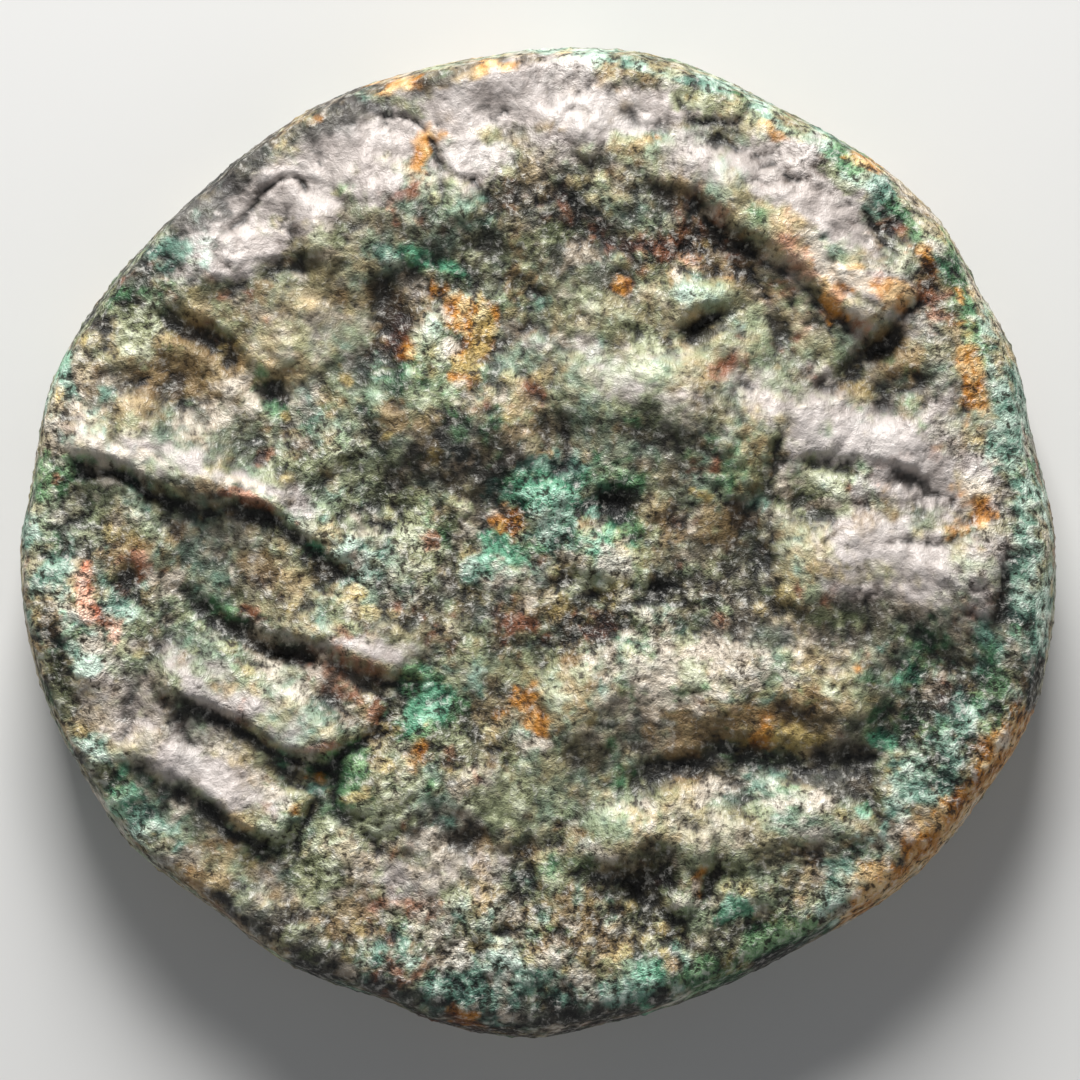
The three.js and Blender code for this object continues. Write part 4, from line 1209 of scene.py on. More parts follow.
@dataclass(frozen=True)
class CorrodedSkin:
    """A Geometry Nodes tree that roughens the skin and grows grains on it. Sizes are in mm."""

    lump_height: float = 0.04
    lump_width: float = 0.9
    rough_height: float = 0.030
    rough_width: float = 0.32
    grain_height: float = 0.035
    grain_width: float = 0.16
    pit_depth: float = 0.05
    pit_width: float = 0.26
    seed: int = 7

    @property
    def inputs(self) -> dict[str, float]:
        """The tree's named inputs and what they are set to.

        Returns:
            Numbers by name.
        """
        return {
            "Lump Height": self.lump_height, "Lump Width": self.lump_width,
            "Rough Height": self.rough_height, "Rough Width": self.rough_width,
            "Grain Height": self.grain_height, "Grain Width": self.grain_width,
            "Pit Depth": self.pit_depth, "Pit Width": self.pit_width, "Seed": float(self.seed),
        }

    def tree(self, material: bpy.types.Material) -> bpy.types.NodeTree:
        """Builds the tree.

        Args:
            material: what the tree's last node sets.

        Returns:
            The node group, with one named input for each size.
        """
        group = bpy.data.node_groups.new("corroded_skin", "GeometryNodeTree")
        wiring = SkinWiring(group, list(self.inputs))
        source, combine = wiring.source, wiring.math
        lumps = wiring.noise("Lump Width", detail=2.0, shift=0.0)
        lumps = combine("MULTIPLY", lumps, source["Lump Height"])
        rough = wiring.noise("Rough Width", detail=4.0, shift=3.0)
        rough = combine("MULTIPLY", rough, source["Rough Height"])
        grains = wiring.domes("Grain Width", reach=0.62, shift=5.0)
        grains = combine("MULTIPLY", grains, source["Grain Height"])
        grains = combine("MULTIPLY", grains, wiring.named("crusty"))
        pits = wiring.domes("Pit Width", reach=0.45, shift=9.0)
        pits = combine("MULTIPLY", pits, source["Pit Depth"])
        pits = combine("MULTIPLY", pits, wiring.named("pitted"))
        raised = combine("ADD", combine("ADD", lumps, rough), grains)
        total = combine("MULTIPLY", combine("SUBTRACT", raised, pits), wiring.named("corroded"))
        normal = wiring.add("GeometryNodeInputNormal").outputs[0]
        push = wiring.scaled(normal, combine("MULTIPLY", total, MM))
        moved = wiring.add("GeometryNodeSetPosition")
        wiring.feed(moved.inputs["Geometry"], source["Geometry"])
        wiring.feed(moved.inputs["Offset"], push)
        realized = wiring.add("GeometryNodeRealizeInstances")
        wiring.feed(realized.inputs[0], moved.outputs[0])
        dressed = wiring.add("GeometryNodeSetMaterial")
        wiring.feed(dressed.inputs["Geometry"], realized.outputs[0])
        wiring.feed(dressed.inputs["Material"], material)
        wiring.feed(wiring.sink[0], dressed.outputs[0])
        return group

    def apply(self, piece: bpy.types.Object, material: bpy.types.Material) -> None:
        """Corrodes a piece and leaves it a plain mesh.

        Args:
            piece: a mesh object with the attributes crusty, pitted and corroded.
            material: the finish that it gets.
        """
        modifier = piece.modifiers.new("corroded_skin", "NODES")
        modifier.node_group = self.tree(material)
        for item in modifier.node_group.interface.items_tree:
            if item.name in self.inputs:
                modifier[item.identifier] = self.inputs[item.name]
        evaluated = piece.evaluated_get(bpy.context.evaluated_depsgraph_get())
        mesh = bpy.data.meshes.new_from_object(evaluated)
        piece.modifiers.clear()
        piece.data = mesh


def store(mesh: bpy.types.Mesh, name: str, values: np.ndarray) -> None:
    """Stores one number for each point of a mesh.

    Args:
        mesh: the mesh.
        name: the attribute's name.
        values: one number for each point.
    """
    layer = mesh.attributes.get(name) or mesh.attributes.new(name, "FLOAT", "POINT")
    layer.data.foreach_set("value", np.ascontiguousarray(values, dtype=np.float32))


def stored_in(mesh: bpy.types.Mesh, name: str) -> np.ndarray:
    """Reads back what store() has stored.

    Args:
        mesh: the mesh.
        name: the attribute's name.

    Returns:
        One number for each point.
    """
    flat = np.empty(len(mesh.vertices), np.float32)
    mesh.attributes[name].data.foreach_get("value", flat)
    return flat.astype(float)


def points_of(mesh: bpy.types.Mesh) -> np.ndarray:
    """Reads a mesh's points.

    Args:
        mesh: the mesh.

    Returns:
        Rows of X, Y and Z in mm.
    """
    flat = np.empty(len(mesh.vertices) * 3, np.float32)
    mesh.vertices.foreach_get("co", flat)
    return flat.reshape(-1, 3).astype(float) / MM


def normals_of(mesh: bpy.types.Mesh) -> np.ndarray:
    """Reads the normals at a mesh's points.

    Args:
        mesh: the mesh.

    Returns:
        Rows of X, Y and Z.
    """
    flat = np.empty(len(mesh.vertices) * 3, np.float32)
    mesh.vertex_normals.foreach_get("vector", flat)
    return flat.reshape(-1, 3).astype(float)


def unrolled(points: np.ndarray) -> tuple[np.ndarray, np.ndarray]:
    """Folds the coin's edge outward into the figured face's plane, so that patterns don't run down it.

    Args:
        points: places in mm.

    Returns:
        X and Y in mm.
    """
    radius = np.hypot(points[:, 0], points[:, 1])
    outer = smooth((radius - FOLD_INNER) / (FOLD_OUTER - FOLD_INNER))
    drop = np.clip(FOLD_LEVEL - points[:, 2], 0, None) * outer
    scale = 1 + FOLD_STRETCH * drop / np.maximum(radius, FOLD_INNER)
    return points[:, 0] * scale, points[:, 1] * scale


def spread(mesh: bpy.types.Mesh, values: np.ndarray, rounds: int) -> np.ndarray:
    """Averages values over neighbouring points, again and again.

    Args:
        mesh: the mesh whose edges say which points are neighbours.
        values: one row for each point.
        rounds: how often to average.

    Returns:
        The averaged rows.
    """
    ends = np.empty(len(mesh.edges) * 2, np.int32)
    mesh.edges.foreach_get("vertices", ends)
    a, b = ends[0::2], ends[1::2]
    count = len(mesh.vertices)
    degree = np.bincount(a, minlength=count) + np.bincount(b, minlength=count)
    made = values.copy()
    for _ in range(rounds):
        for column in range(made.shape[1]):
            held = made[:, column]
            total = np.bincount(a, weights=held[b], minlength=count)
            total = total + np.bincount(b, weights=held[a], minlength=count)
            made[:, column] = (held + total) / (1 + degree)
    return made


@dataclass(frozen=True)
class Surroundings:
    """How wide a point's surroundings are taken to be, and how deep below them in mm counts as 1."""

    rounds: int
    span: float
    lowest: float = -0.7
    highest: float = 1.5

    def sunk(self, mesh: bpy.types.Mesh) -> np.ndarray:
        """How far each point lies below its surroundings, less than 0 where it stands above them.

        Args:
            mesh: the mesh.

        Returns:
            Numbers from lowest to highest.
        """
        points = points_of(mesh)
        depth = ((spread(mesh, points, self.rounds) - points) * normals_of(mesh)).sum(axis=1)
        return np.clip(depth / self.span, self.lowest, self.highest)


@dataclass(frozen=True)
class Skin:
    """What the patina's tones are worked out from, one number for each point of the corroded coin.

    x and y are the unrolled places. fine, furrow and broad say how far a point lies below what is
    close to it, around it and far around it. crusted and polished are the coin's own patches, and
    shade holds the patches of painted light and shade, with some patina tone.
    """

    points: np.ndarray
    x: np.ndarray
    y: np.ndarray
    fine: np.ndarray
    furrow: np.ndarray
    broad: np.ndarray
    crusted: np.ndarray
    polished: np.ndarray
    shade: np.ndarray


@dataclass(frozen=True)
class Lightness:
    """What makes the patina lighter or darker, with the weight of each cause. The fine, furrow and broad
    weights darken points that lie below their surroundings, which is painted shade, and the shade weight
    adds the painted light and shade patches.
    """

    middle: float = 0.52
    mottle: float = 0.14
    mottles: Grain = Grain(51, 0.42, 3, 0.9)
    flake: float = 0.13
    flakes: Grain = Grain(54, 0.75, 5, 0.62)
    flake_slope: Rise = Rise(0.5, 1.6)
    fine: float = 0.26
    large_clot: float = 0.24
    small_clot: float = 0.36
    clot_middle: float = 0.45
    streak: float = 0.10
    streaks: Grain = Grain(52, 0.22, 3, 0.7)
    streak_way: tuple[float, float] = (0.91, -0.42)
    streak_length: float = 5
    furrow: float = 0.10
    broad: float = 0.14
    shade: float = 1.10
    mottling: Rise = Rise(0.60, 0.60)
    clotting: Rise = Rise(0.15, 0.85)

    def at(self, skin: Skin) -> np.ndarray:
        """The lightness of each point.

        Args:
            skin: the corroded coin's skin.

        Returns:
            Numbers of about 0, the darkest, to 1, the palest.
        """
        x, y = skin.x, skin.y
        right, up = self.streak_way
        streak = self.streaks.at((x * right + y * up) / self.streak_length, y * right - x * up)
        flakes = 2 * smooth(self.flake_slope.at(self.flakes.at(x, y))) - 1
        large, small = (clots.at(x, y)[0] - self.clot_middle for clots in (LARGE_CLOTS, SMALL_CLOTS))
        clots = (self.large_clot * large + self.small_clot * small) * self.clotting.at(skin.crusted)
        mottles = self.mottle * self.mottles.at(x, y) + self.flake * flakes - self.fine * skin.fine
        level = self.middle + mottles * self.mottling.at(skin.crusted) + clots
        # Painted shade where points lie below their surroundings, and the painted light and shade patches
        level = level + self.streak * streak - self.furrow * skin.furrow
        return level - self.broad * skin.broad + self.shade * skin.shade


@dataclass(frozen=True)
class Bronze:
    """The bronze between the crusts, in clouds of several tones, paler where the level is high, so it
    carries the level's painted light and shade.
    """

    tones: tuple[Tone, ...] = (
        (124, 116, 90), (152, 141, 127), (160, 142, 112), (98, 104, 80), (128, 138, 114), (110, 128, 112),
    )
    clouds: Grain = Grain(70, 1.1, 5, 0.7)
    contrast: float = 3.2
    lift_step: Step = Step(0.02, 0.96)
    darkest: float = 0.35
    palest: float = 1.42
    power: float = 1.6

    def at(self, skin: Skin, level: np.ndarray) -> np.ndarray:
        """The bronze's colour.

        Args:
            skin: the corroded coin's skin.
            level: the lightness of each point.

        Returns:
            Rows of linear red, green and blue.
        """
        total, colour = np.zeros(len(level)), np.zeros((len(level), 3))
        for index, tone in enumerate(self.tones):
            share = np.exp(self.contrast * self.clouds.at(skin.x, skin.y, sibling=index))
            total, colour = total + share, colour + share[:, None] * linear_rgb(tone)
        lift = self.darkest + (self.palest - self.darkest) * self.lift_step.at(level)
        return colour / total[:, None] * lift[:, None] ** self.power


@dataclass(frozen=True)
class ClotTones:
    """The clots of crust that lie on the bronze, each in one of several tones."""

    tones: tuple[Tone, ...] = (
        (196, 188, 158), (188, 166, 116), (150, 168, 134), (214, 206, 190), (128, 100, 74), (70, 66, 56),
    )
    fullness: float = 2.2
    pick: Step = Step(0.3, 0.3)
    cover: Rise = Rise(0.12, 0.55)
    lift: Rise = Rise(0.45, 0.9)

    def over(self, colour: np.ndarray, skin: Skin, level: np.ndarray) -> np.ndarray:
        """Lays the clots over a colour.

        Args:
            colour: rows of linear red, green and blue.
            skin: the corroded coin's skin.
            level: the lightness of each point.

        Returns:
            The new rows.
        """
        dome, pick, hue = LARGE_CLOTS.at(skin.x, skin.y)
        tones = np.array([linear_rgb(tone) for tone in self.tones])
        tones = tones[np.minimum((hue * len(tones)).astype(int), len(tones) - 1)]
        cover = smooth(dome * self.fullness) * self.pick.at(pick) * self.cover.at(skin.crusted)
        # Lifted by the level, so the clots carry its painted light and shade
        return colour + (tones * self.lift.at(level[:, None]) - colour) * cover[:, None]


@dataclass(frozen=True)
class RecessShade:
    """Painted shade: near-black darkening in pits and furrows, by how deep each point lies below its
    surroundings, with the weight of each kind of depth.
    """

    tone: Tone = (17, 16, 13)
    fine: float = 0.20
    furrow: float = 0.60
    broad: float = 0.35
    breaks: Grain = Grain(55, 0.5, 4, 0.75)
    break_depth: float = 0.16
    step: Step = Step(0.32, 0.8)
    cover: float = 0.85

    def over(self, colour: np.ndarray, skin: Skin) -> np.ndarray:
        """Lays the painted shade over a colour.

        Args:
            colour: rows of linear red, green and blue.
            skin: the corroded coin's skin.

        Returns:
            The new rows.
        """
        depth = self.fine * skin.fine + self.furrow * skin.furrow + self.broad * skin.broad
        sunk = self.step.at(depth + self.break_depth * self.breaks.at(skin.x, skin.y)) * self.cover
        return colour + (linear_rgb(self.tone) - colour) * sunk[:, None]


@dataclass(frozen=True)
class Weathering:
    """Works out how corroded the coin's skin is, and which colour its patina has at each point.

    It works in two rounds: before_corrosion stores on the smooth flan what the corroded skin's tree
    reads, and after_corrosion stores on the corroded coin what the finish reads.
    """

    near: Surroundings = Surroundings(6, 0.035)
    around: Surroundings = Surroundings(26, 0.07)
    far: Surroundings = Surroundings(70, 0.16)
    figured_step: Step = Step(0.25, 0.6)
    # Patches: how far beyond their radii they fade, and how noise moves them and eats into their edges
    fade: float = 1.65
    drift: float = 0.16
    drift_on_edge: float = 0.8
    drift_x: Grain = Grain(61, 0.8, 4, 0.6)
    drift_y: Grain = Grain(62, 0.8, 4, 0.6)
    ragged_edges: Grain = Grain(63, 0.45, 4, 0.7)
    edge_bite: float = 0.35
    whole_middle: float = 0.2
    # Stray patches of a crust
    strays: Grain = Grain(40, 1.3, 5, 0.65)
    stray_gain: float = 1.6
    stray_level: float = 0.35
    stray_keep_off: float = 0.75
    # Granular crust and smooth bronze
    crust_ragged: float = 0.6
    flank: Step = Step(7.9, 0.7)
    flank_crust: float = 0.8
    polish_gain: float = 1.3
    polish_lost: float = 0.7
    # Grains, pits and roughening of the skin
    crustiness: Rise = Rise(0.15, 1.1)
    crust_fields: Grain = Grain(21, 2.2)
    crust_sway: float = 0.4
    least_crusty: float = 0.05
    most_crusty: float = 1.3
    pit_fields: Grain = Grain(22, 1.6)
    pit_gain: float = 1.2
    pitting: Rise = Rise(0.3, 0.7)
    corrosion: Rise = Rise(0.15, 0.85)
    polish_calm: float = 0.65
    # The patina's tones with their painted light and shade, and how the crusts cover one another
    shade_ragged: float = 0.9
    lightness: Lightness = Lightness()
    bronze: Bronze = Bronze()
    clots: ClotTones = ClotTones()
    recess_shade: RecessShade = RecessShade()
    deep_to_main: Step = Step(0.05, 0.42)
    main_to_pale: Step = Step(0.53, 0.45)
    wobbles: Grain = Grain(80, 0.6, 4, 0.8)
    wobble: float = 0.32
    wobble_from: float = 0.05
    bloom_level: float = 0.4
    bloom_start: Step = Step(0.0, 0.2)
    vividness: float = 1.22
    darkest: float = 0.002
    palest: float = 0.9
    # What the finish reads besides the colour
    roughness: Rise = Rise(0.60, 0.5)
    polish_gloss: float = 0.45
    bare_bronze: float = 0.1

    def figured(self, points: np.ndarray) -> np.ndarray:
        """1 on the figured side and the edge, 0 on the worn underside."""
        return self.figured_step.at(points[:, 2])

    def patches(self, table: tuple[Patch, ...], points: np.ndarray, ragged: float) -> np.ndarray:
        """How strongly the patches of a table cover each point.

        Args:
            table: the patches. Its length also picks the noise that eats into their edges.
            points: places in mm.
            ragged: how far noise eats into the edges.

        Returns:
            The strongest patch at each point, below zero for a patch that darkens.
        """
        unrolled_x, unrolled_y = unrolled(points)
        fold = np.hypot(unrolled_x, unrolled_y) - np.hypot(points[:, 0], points[:, 1])
        drift = self.drift * (1 + self.drift_on_edge * fold)
        x = points[:, 0] + drift * self.drift_x.at(unrolled_x, unrolled_y)
        y = points[:, 1] + drift * self.drift_y.at(unrolled_x, unrolled_y)
        edge = ragged * self.ragged_edges.at(unrolled_x, unrolled_y, sibling=len(table))
        total = np.zeros(len(points))
        for cx, cy, rx, ry, turn, strength in table:
            spot = Swell((cx, cy), (rx * self.fade, ry * self.fade), 1.0, turn)
            reach = spot.distance(x, y)
            eaten = reach + self.edge_bite * edge * (reach > self.whole_middle)
            cover = strength * (1 - smooth(eaten))
            total = np.where(np.abs(cover) > np.abs(total), cover, total)
        return total

    def bloom(self, layer: Layer, points: np.ndarray, clean: np.ndarray | float = 0.0) -> np.ndarray:
        """How strongly one crust has grown at each point.

        Args:
            layer: the crust.
            points: places in mm.
            clean: how free of stray patches each point is, from 0 to 1.

        Returns:
            Numbers from 0 to about 1.5.
        """
        x, y = unrolled(points)
        stray = self.strays.at(x, y, sibling=LAYERS.index(layer))
        found = np.clip(self.stray_gain * stray - self.stray_level, 0, 1)
        strays = layer.scatter * found * (1 - self.stray_keep_off * clean)
        return self.patches(BLOOMS[layer.kind], points, layer.ragged) * self.figured(points) + strays

    def crusted(self, points: np.ndarray) -> np.ndarray:
        """How granular the crust is: by its own patches, and all along the coin's edge.

        Args:
            points: places in mm.

        Returns:
            Numbers from 0 to 1.
        """
        edge = self.flank.at(np.hypot(points[:, 0], points[:, 1]))
        patches = np.clip(self.patches(CRUSTED, points, self.crust_ragged), 0, 1)
        return np.maximum(patches, self.flank_crust * edge)

    def polished(self, points: np.ndarray) -> np.ndarray:
        """How smooth the bronze is.

        Args:
            points: places in mm.

        Returns:
            Numbers from 0 to 1.
        """
        sheen = np.clip(self.polish_gain * self.bloom(SMOOTH_BRONZE_AND_SHEEN, points), 0, 1)
        return sheen * (1 - self.polish_lost * self.crusted(points))

    def before_corrosion(self, mesh: bpy.types.Mesh) -> None:
        """Stores how sunk, crusty, pitted and corroded each point is.

        Args:
            mesh: the smooth struck flan.
        """
        points = points_of(mesh)
        x, y = points[:, 0], points[:, 1]
        crusted, polished = self.crusted(points), self.polished(points)
        crusty = self.crustiness.at(crusted) + self.crust_sway * self.crust_fields.at(x, y)
        pitted = smooth(self.pit_fields.at(x, y) * self.pit_gain) * self.pitting.at(crusted)
        corroded = self.corrosion.at(self.figured(points)) * (1 - self.polish_calm * polished)
        store(mesh, "furrow", self.around.sunk(mesh))
        store(mesh, "crusty", np.clip(crusty, self.least_crusty, self.most_crusty))
        store(mesh, "pitted", pitted)
        store(mesh, "corroded", corroded)

    def skin(self, mesh: bpy.types.Mesh) -> Skin:
        """Gathers what the tones are worked out from.

        Args:
            mesh: the corroded coin.

        Returns:
            Its skin.
        """
        points = points_of(mesh)
        x, y = unrolled(points)
        return Skin(
            points=points, x=x, y=y,
            fine=self.near.sunk(mesh), furrow=stored_in(mesh, "furrow"), broad=self.far.sunk(mesh),
            crusted=self.crusted(points), polished=self.polished(points),
            # The patches of painted light and shade, with some patina tone
            shade=self.patches(TONES_AND_PAINTED_LIGHT, points, self.shade_ragged) * self.figured(points),
        )

    def toned(self, level: np.ndarray, layer: Layer) -> np.ndarray:
        """The crust's colour: deep where the level is low, through main, to pale where it is high, so it
        carries the level's painted light and shade.

        Args:
            level: the lightness of each point.
            layer: the crust.

        Returns:
            Rows of linear red, green and blue.
        """
        deep, main, pale = linear_rgb(layer.deep), linear_rgb(layer.main), linear_rgb(layer.pale)
        low, high = self.deep_to_main.at(level)[:, None], self.main_to_pale.at(level)[:, None]
        return (deep + (main - deep) * low) * (1 - high) + pale * high

    def covered(self, layer: Layer, skin: Skin) -> np.ndarray:
        """How far a crust hides what lies under it.

        Args:
            layer: the crust.
            skin: the corroded coin's skin.

        Returns:
            Numbers from 0 to the crust's opacity.
        """
        bloom = self.bloom(layer, skin.points, skin.polished)
        wobble = self.wobbles.at(skin.x, skin.y, sibling=LAYERS.index(layer))
        wobble = layer.ragged * self.wobble * wobble * (bloom > self.wobble_from)
        cover = risen(bloom + wobble, self.bloom_level, layer.soft) * layer.opacity
        return cover * self.bloom_start.at(bloom)

    def after_corrosion(self, mesh: bpy.types.Mesh) -> None:
        """Stores the patina's colour with its painted light and shade, how rough its grain is and how
        metallic it is.

        Args:
            mesh: the corroded coin.
        """
        skin = self.skin(mesh)
        level = self.lightness.at(skin)
        colour = self.clots.over(self.bronze.at(skin, level), skin, level)
        bare = np.full(len(level), self.bare_bronze)
        for layer in LAYERS:
            cover = self.covered(layer, skin)
            colour = colour + (self.toned(level, layer) - colour) * cover[:, None]
            bare = bare + (layer.bare - bare) * cover
        # Painted shade: near-black darkening in pits and furrows
        colour = self.recess_shade.over(colour, skin)
        grey = colour.mean(axis=1, keepdims=True)
        colour = np.clip(grey + (colour - grey) * self.vividness, self.darkest, self.palest)
        tinted = np.column_stack([colour, np.ones(len(level))])
        patina = mesh.attributes.new("patina", "FLOAT_COLOR", "POINT")
        patina.data.foreach_set("color", np.ascontiguousarray(tinted, dtype=np.float32).ravel())
        store(mesh, "rough", self.roughness.at(skin.crusted) * (1 - self.polish_gloss * skin.polished))
        store(mesh, "bare", bare)


class Paint(Wiring):
    """A new material, and short ways to add to it."""

    # A Mix node has sockets for numbers, vectors and colours. These are its factor and its colours
    MIX_INPUTS: ClassVar[tuple[int, int, int]] = (0, 6, 7)
    MIX_OUTPUT: ClassVar[int] = 2

    def __init__(self, name: str) -> None:
        """Makes the material.

        Args:
            name: the material's name.
        """
        self.material = bpy.data.materials.new(name)
        self.material.use_nodes = True
        super().__init__(self.material.node_tree)
        self.shader = next(node for node in self.nodes if node.type == "BSDF_PRINCIPLED")

    def mix(self, share: object, first: object, second: object, blend: str = "MIX") -> bpy.types.NodeSocket:
        """Mixes two colours.

        Args:
            share: how much of the second shows, as a socket or a number.
            first: a socket or a colour.
            second: a socket or a colour.
            blend: Blender's name for the way of mixing.

        Returns:
            The socket with the mixture.
        """
        node = self.add("ShaderNodeMix", data_type="RGBA", blend_type=blend, clamp_factor=True)
        for index, value in zip(self.MIX_INPUTS, (share, first, second)):
            self.feed(node.inputs[index], value)
        return node.outputs[self.MIX_OUTPUT]


class GrainedPaint(Paint):
    """A material with fine patterns that lie on the figured face's plane, all sizes in mm."""

    STIR_SEED: ClassVar[float] = 20.0
    STRIDE: ClassVar[tuple[float, float, float]] = (0.37, 0.11, 0.23)

    def __init__(self, name: str) -> None:
        """Makes the material.

        Args:
            name: the material's name.
        """
        super().__init__(name)
        self.place = self.unrolled()

    def unrolled(self) -> bpy.types.NodeSocket:
        """Folds the coin's edge outward into the figured face's plane, as unrolled() does for a mesh.

        Returns:
            The socket with the place.
        """
        axes = self.add("ShaderNodeSeparateXYZ")
        self.feed(axes.inputs[0], self.add("ShaderNodeTexCoord").outputs["Object"])
        flat = self.add("ShaderNodeCombineXYZ")
        for index in (0, 1):
            self.feed(flat.inputs[index], axes.outputs[index])
        length = self.add("ShaderNodeVectorMath", operation="LENGTH")
        self.feed(length.inputs[0], flat.outputs[0])
        radius = length.outputs["Value"]
        drop = self.math("MAXIMUM", self.math("SUBTRACT", FOLD_LEVEL * MM, axes.outputs[2]), 0.0)
        drop = self.math("MULTIPLY", drop, self.ramp(radius, FOLD_INNER * MM, FOLD_OUTER * MM))
        radius = self.math("MAXIMUM", radius, MM)
        stretch = self.math("DIVIDE", self.math("MULTIPLY", drop, FOLD_STRETCH), radius)
        return self.scaled(flat.outputs[0], self.math("ADD", stretch, 1.0))

    def shifted(self, seed: float) -> bpy.types.NodeSocket:
        """Moves the place aside, so that each texture has a pattern of its own.

        Args:
            seed: how far.

        Returns:
            The socket with the place.
        """
        node = self.add("ShaderNodeVectorMath", operation="ADD")
        self.feed(node.inputs[0], self.place)
        self.feed(node.inputs[1], tuple(step * seed for step in self.STRIDE))
        return node.outputs[0]

    def noise(self, width: float, detail: float, rough: float, seed: float) -> bpy.types.Node:
        """Adds a noise texture.

        Args:
            width: how wide its hills are.
            detail: how many finer layers it has.
            rough: the height of each layer against the last.
            seed: picks the pattern.

        Returns:
            The new node.
        """
        node = self.add("ShaderNodeTexNoise", noise_dimensions="2D")
        self.feed(node.inputs["Vector"], self.shifted(seed))
        for name, value in (("Scale", 1 / (width * MM)), ("Detail", detail), ("Roughness", rough)):
            node.inputs[name].default_value = value
        return node

    def cells(self, width: float, seed: float) -> bpy.types.Node:
        """Adds a cell texture.

        Args:
            width: how wide its cells are.
            seed: picks the pattern.

        Returns:
            The new node.
        """
        node = self.add("ShaderNodeTexVoronoi", voronoi_dimensions="2D")
        self.feed(node.inputs["Vector"], self.shifted(seed))
        node.inputs["Scale"].default_value = 1 / (width * MM)
        return node

    def stir(self, width: float, reach: float) -> None:
        """Shifts the places that later textures read, so that their cells are ragged.

        Args:
            width: size of the shifts' pattern.
            reach: how far it shifts.
        """
        drift = self.add("ShaderNodeVectorMath", operation="SUBTRACT")
        pattern = self.noise(width, detail=1.0, rough=0.6, seed=self.STIR_SEED)
        self.feed(drift.inputs[0], pattern.outputs[1])
        self.feed(drift.inputs[1], (0.5, 0.5, 0.5))
        moved = self.add("ShaderNodeVectorMath", operation="MULTIPLY_ADD")
        self.feed(moved.inputs[0], drift.outputs[0])
        self.feed(moved.inputs[1], (reach * MM, reach * MM, reach * MM))
        self.feed(moved.inputs[2], self.place)
        self.place = moved.outputs[0]


@dataclass(frozen=True)
class Patina:
    """The coin's finish: stored colours, grained by one micro height that also gives the bumps.

    Widths and the bumps' height are in mm. The two ends of each pair of levels are micro heights.
    """

    name: str = SLOT
    stir_width: float = 0.12
    stir_reach: float = 0.06
    grain_width: float = 0.10
    grain_dome: float = 0.46
    grain_share: float = 0.30
    rubble_width: float = 0.20
    rubble_share: float = 2.8
    middle: float = 0.5
    # Painted shade in the crevices between the grains, and pale dust with a painted highlight on their
    # crests
    crevice_shade: Tone = (98, 92, 84)
    crevice_shade_levels: tuple[float, float] = (0.0, 0.50)
    crest: Tone = (240, 236, 226)
    crest_share: float = 0.36
    crest_levels: tuple[float, float] = (0.55, 1.05)
    gloss_levels: tuple[float, float] = (0.2, 0.8)
    roughness: tuple[float, float] = (0.66, 0.48)
    specular: float = 0.55
    bump_height: float = 0.034

    def micro_height(self, paint: GrainedPaint) -> bpy.types.NodeSocket:
        """Adds the grain of the crust: rubble with small domes, deeper where the crust is granular.

        Args:
            paint: the material.

        Returns:
            The socket with a height of about 0 to 1.
        """
        paint.stir(self.stir_width, self.stir_reach)
        grains = paint.cells(self.grain_width, seed=11.0).outputs["Distance"]
        rubble = paint.noise(self.rubble_width, detail=3.0, rough=0.72, seed=13.0).outputs[0]
        height = paint.math("MULTIPLY", paint.math("SUBTRACT", rubble, 0.5), self.rubble_share)
        dome = paint.math("MULTIPLY", paint.math("SUBTRACT", self.grain_dome, grains), self.grain_share)
        height = paint.math("MULTIPLY", paint.math("ADD", height, dome), self.stored(paint, "rough", "Fac"))
        return paint.math("ADD", height, self.middle)

    @staticmethod
    def stored(paint: GrainedPaint, name: str, output: str) -> bpy.types.NodeSocket:
        """A number, Fac, or a colour, Color, that is stored on the mesh."""
        return paint.add("ShaderNodeAttribute", attribute_name=name).outputs[output]

    def material(self) -> bpy.types.Material:
        """Makes the material.

        Returns:
            A material that reads Object coordinates and the coin's stored values only.
        """
        paint = GrainedPaint(self.name)
        height = self.micro_height(paint)

        # Painted shade darkens the crevices between the grains, keeping a little of the colour, and the
        # crests get pale dust with a painted highlight
        colour = self.stored(paint, "patina", "Color")
        crevice_shaded = paint.mix(1.0, colour, linear(self.crevice_shade), "MULTIPLY")
        tone = paint.mix(paint.ramp(height, *self.crevice_shade_levels), crevice_shaded, colour)
        dusted_and_lit = paint.mix(self.crest_share, colour, linear(self.crest))
        tone = paint.mix(paint.ramp(height, *self.crest_levels), tone, dusted_and_lit)

        bump = paint.add("ShaderNodeBump")
        bump.inputs["Strength"].default_value = 1.0
        bump.inputs["Distance"].default_value = self.bump_height * MM
        paint.feed(bump.inputs["Height"], height)
        for name, value in (
            ("Base Color", tone),
            ("Metallic", self.stored(paint, "bare", "Fac")),
            ("Roughness", paint.ramp(height, *self.gloss_levels, *self.roughness)),
            ("Specular IOR Level", self.specular),
            ("Normal", bump.outputs[0]),
        ):
            paint.feed(paint.shader.inputs[name], value)
        return paint.material


@dataclass(frozen=True)
class Coin:
    """The coin: its struck flan, corroded skin and patina."""

    flan: Flan = Flan()
    skin: CorrodedSkin = CorrodedSkin()
    weathering: Weathering = Weathering()
    patina: Patina = Patina()

    def build(self) -> bpy.types.Object:
        """Makes the piece and hands it to the frame.

        Returns:
            The finished piece, one closed mesh.
        """
        piece = self.flan.build("struck_coin")
        self.weathering.before_corrosion(piece.data)
        self.skin.apply(piece, self.patina.material())
        self.weathering.after_corrosion(piece.data)
        piece.data.polygons.foreach_set("use_smooth", np.ones(len(piece.data.polygons), bool))
        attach(piece, "root")
        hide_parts(NODE)
        return piece


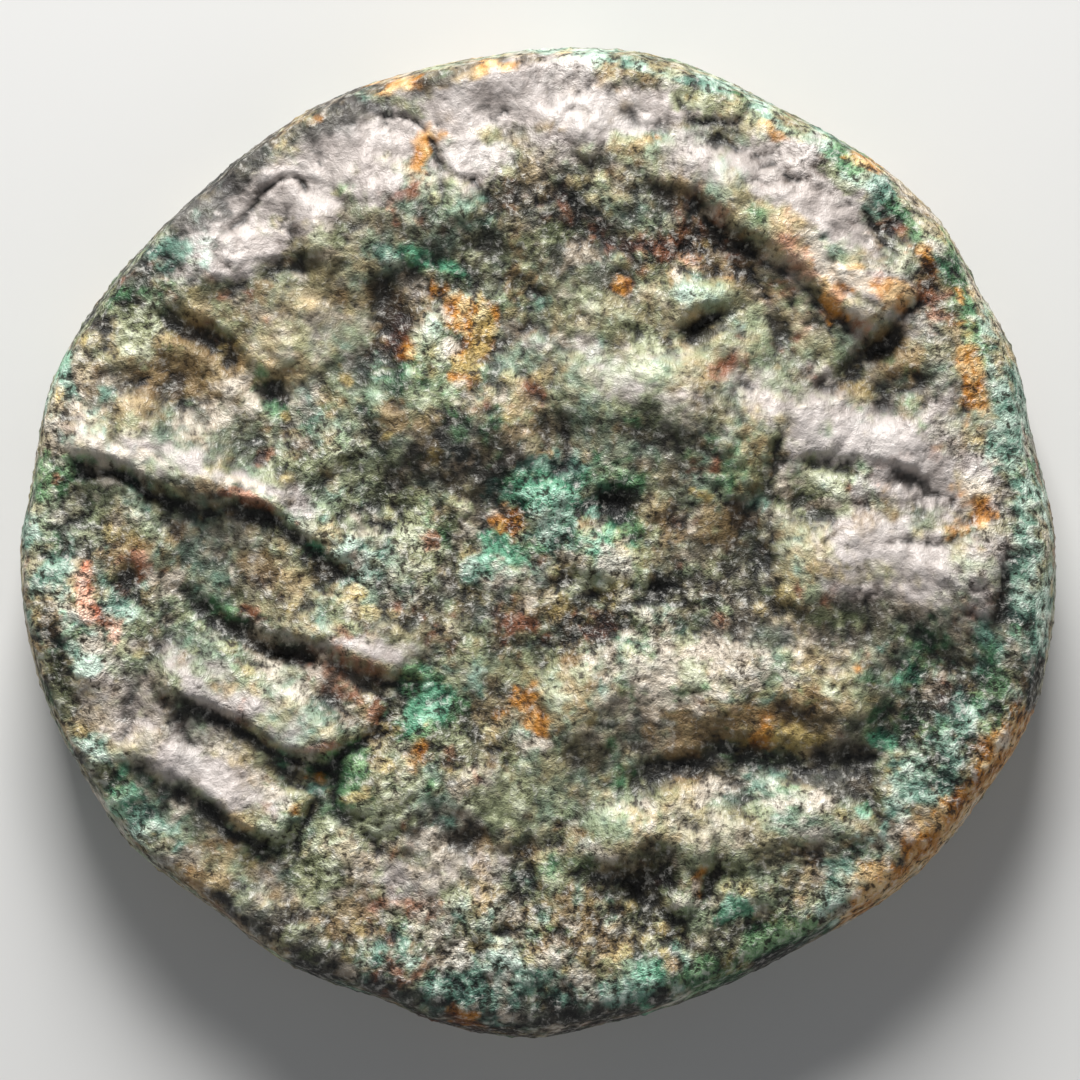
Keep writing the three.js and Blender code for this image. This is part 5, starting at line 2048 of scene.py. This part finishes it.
@dataclass(frozen=True)
class Lamp:
    """A soft square light that faces the coin's middle. Angles are in degrees, lengths in mm."""

    name: str
    bearing: float
    elevation: float
    side: float
    power: float
    distance: float = 130.0

    def build(self) -> None:
        """Adds the light to the scene."""
        light = bpy.data.lights.new(self.name, "AREA")
        light.size = self.side * MM
        light.energy = self.power
        made = bpy.data.objects.new(self.name, light)
        bpy.context.scene.collection.objects.link(made)
        b, e = math.radians(self.bearing), math.radians(self.elevation)
        out = (math.cos(e) * math.cos(b), math.cos(e) * math.sin(b), math.sin(e))
        made.location = tuple(self.distance * part * MM for part in out)
        made.rotation_euler = (math.pi / 2 - e, 0.0, b + math.pi / 2)


@dataclass(frozen=True)
class Studio:
    """A pale plain floor, soft light from the picture's top, and a camera straight above."""

    floor_side: float = 900.0
    floor_tone: Tone = (214, 213, 210)
    floor_roughness: float = 0.9
    lamps: tuple[Lamp, ...] = (
        Lamp("key", 95.0, 33.0, 55.0, 0.30),
        Lamp("fill", 275.0, 50.0, 120.0, 0.025),
    )
    world_tone: Tone = (206, 212, 222)
    world_strength: float = 0.16
    lens: float = 200.0
    sensor: float = 36.0
    frame_width: float = 18.848
    frame_height: float = 1.45
    frame_centre: tuple[float, float] = (0.026, 0.052)

    def floor(self) -> None:
        """Adds the floor, as stage and not part of the coin."""
        paint = Paint("floor_card")
        paint.feed(paint.shader.inputs["Base Color"], linear(self.floor_tone))
        paint.feed(paint.shader.inputs["Roughness"], self.floor_roughness)
        half = self.floor_side / 2 * MM
        corners = [(-half, -half, 0), (half, -half, 0), (half, half, 0), (-half, half, 0)]
        mesh = bpy.data.meshes.new("floor")
        mesh.from_pydata(corners, [], [(0, 1, 2, 3)])
        mesh.materials.append(paint.material)
        floor = bpy.data.objects.new("floor", mesh)
        bpy.context.scene.collection.objects.link(floor)
        floor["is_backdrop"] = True

    def world(self) -> None:
        """Adds the even light from all sides."""
        world = bpy.data.worlds.new("studio")
        world.use_nodes = True
        background = next(node for node in world.node_tree.nodes if node.type == "BACKGROUND")
        background.inputs["Color"].default_value = linear(self.world_tone)
        background.inputs["Strength"].default_value = self.world_strength
        bpy.context.scene.world = world

    def camera(self) -> None:
        """Adds the camera, so far up that the frame is as wide as frame_width at frame_height."""
        eye = bpy.data.cameras.new("camera")
        eye.lens = self.lens
        eye.sensor_width = self.sensor
        eye.clip_start = 1 * MM
        camera = bpy.data.objects.new("camera", eye)
        height = self.frame_height + self.frame_width * self.lens / self.sensor
        camera.location = tuple(length * MM for length in (*self.frame_centre, height))
        bpy.context.scene.collection.objects.link(camera)
        bpy.context.scene.camera = camera

    def build(self) -> None:
        """Adds floor, lights, world and camera, and sets how colours are shown."""
        self.floor()
        for lamp in self.lamps:
            lamp.build()
        self.world()
        self.camera()
        bpy.context.scene.view_settings.view_transform = "Standard"
        bpy.context.scene.view_settings.look = "None"


def plain(box: object) -> object:
    """Args:
        box: a number, a text, or a row or a dictionary of them.

    Returns:
        The same in plain lists, dictionaries and numbers.
    """
    if isinstance(box, dict):
        return {str(key): plain(value) for key, value in box.items()}
    if isinstance(box, (int, float, str)):
        return box
    return [plain(value) for value in box]


def main() -> None:
    """Builds the coin, then the studio around it."""
    logging.basicConfig(level=logging.INFO, format="%(message)s")
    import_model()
    solid = plain(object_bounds())
    coin = Coin().build()
    LOG.info("%s: %d triangles", coin.name, len(coin.data.polygons))
    Studio().build()
    {"solid": solid, "visual": plain(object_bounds())}


if __name__ == "__main__":
    main()
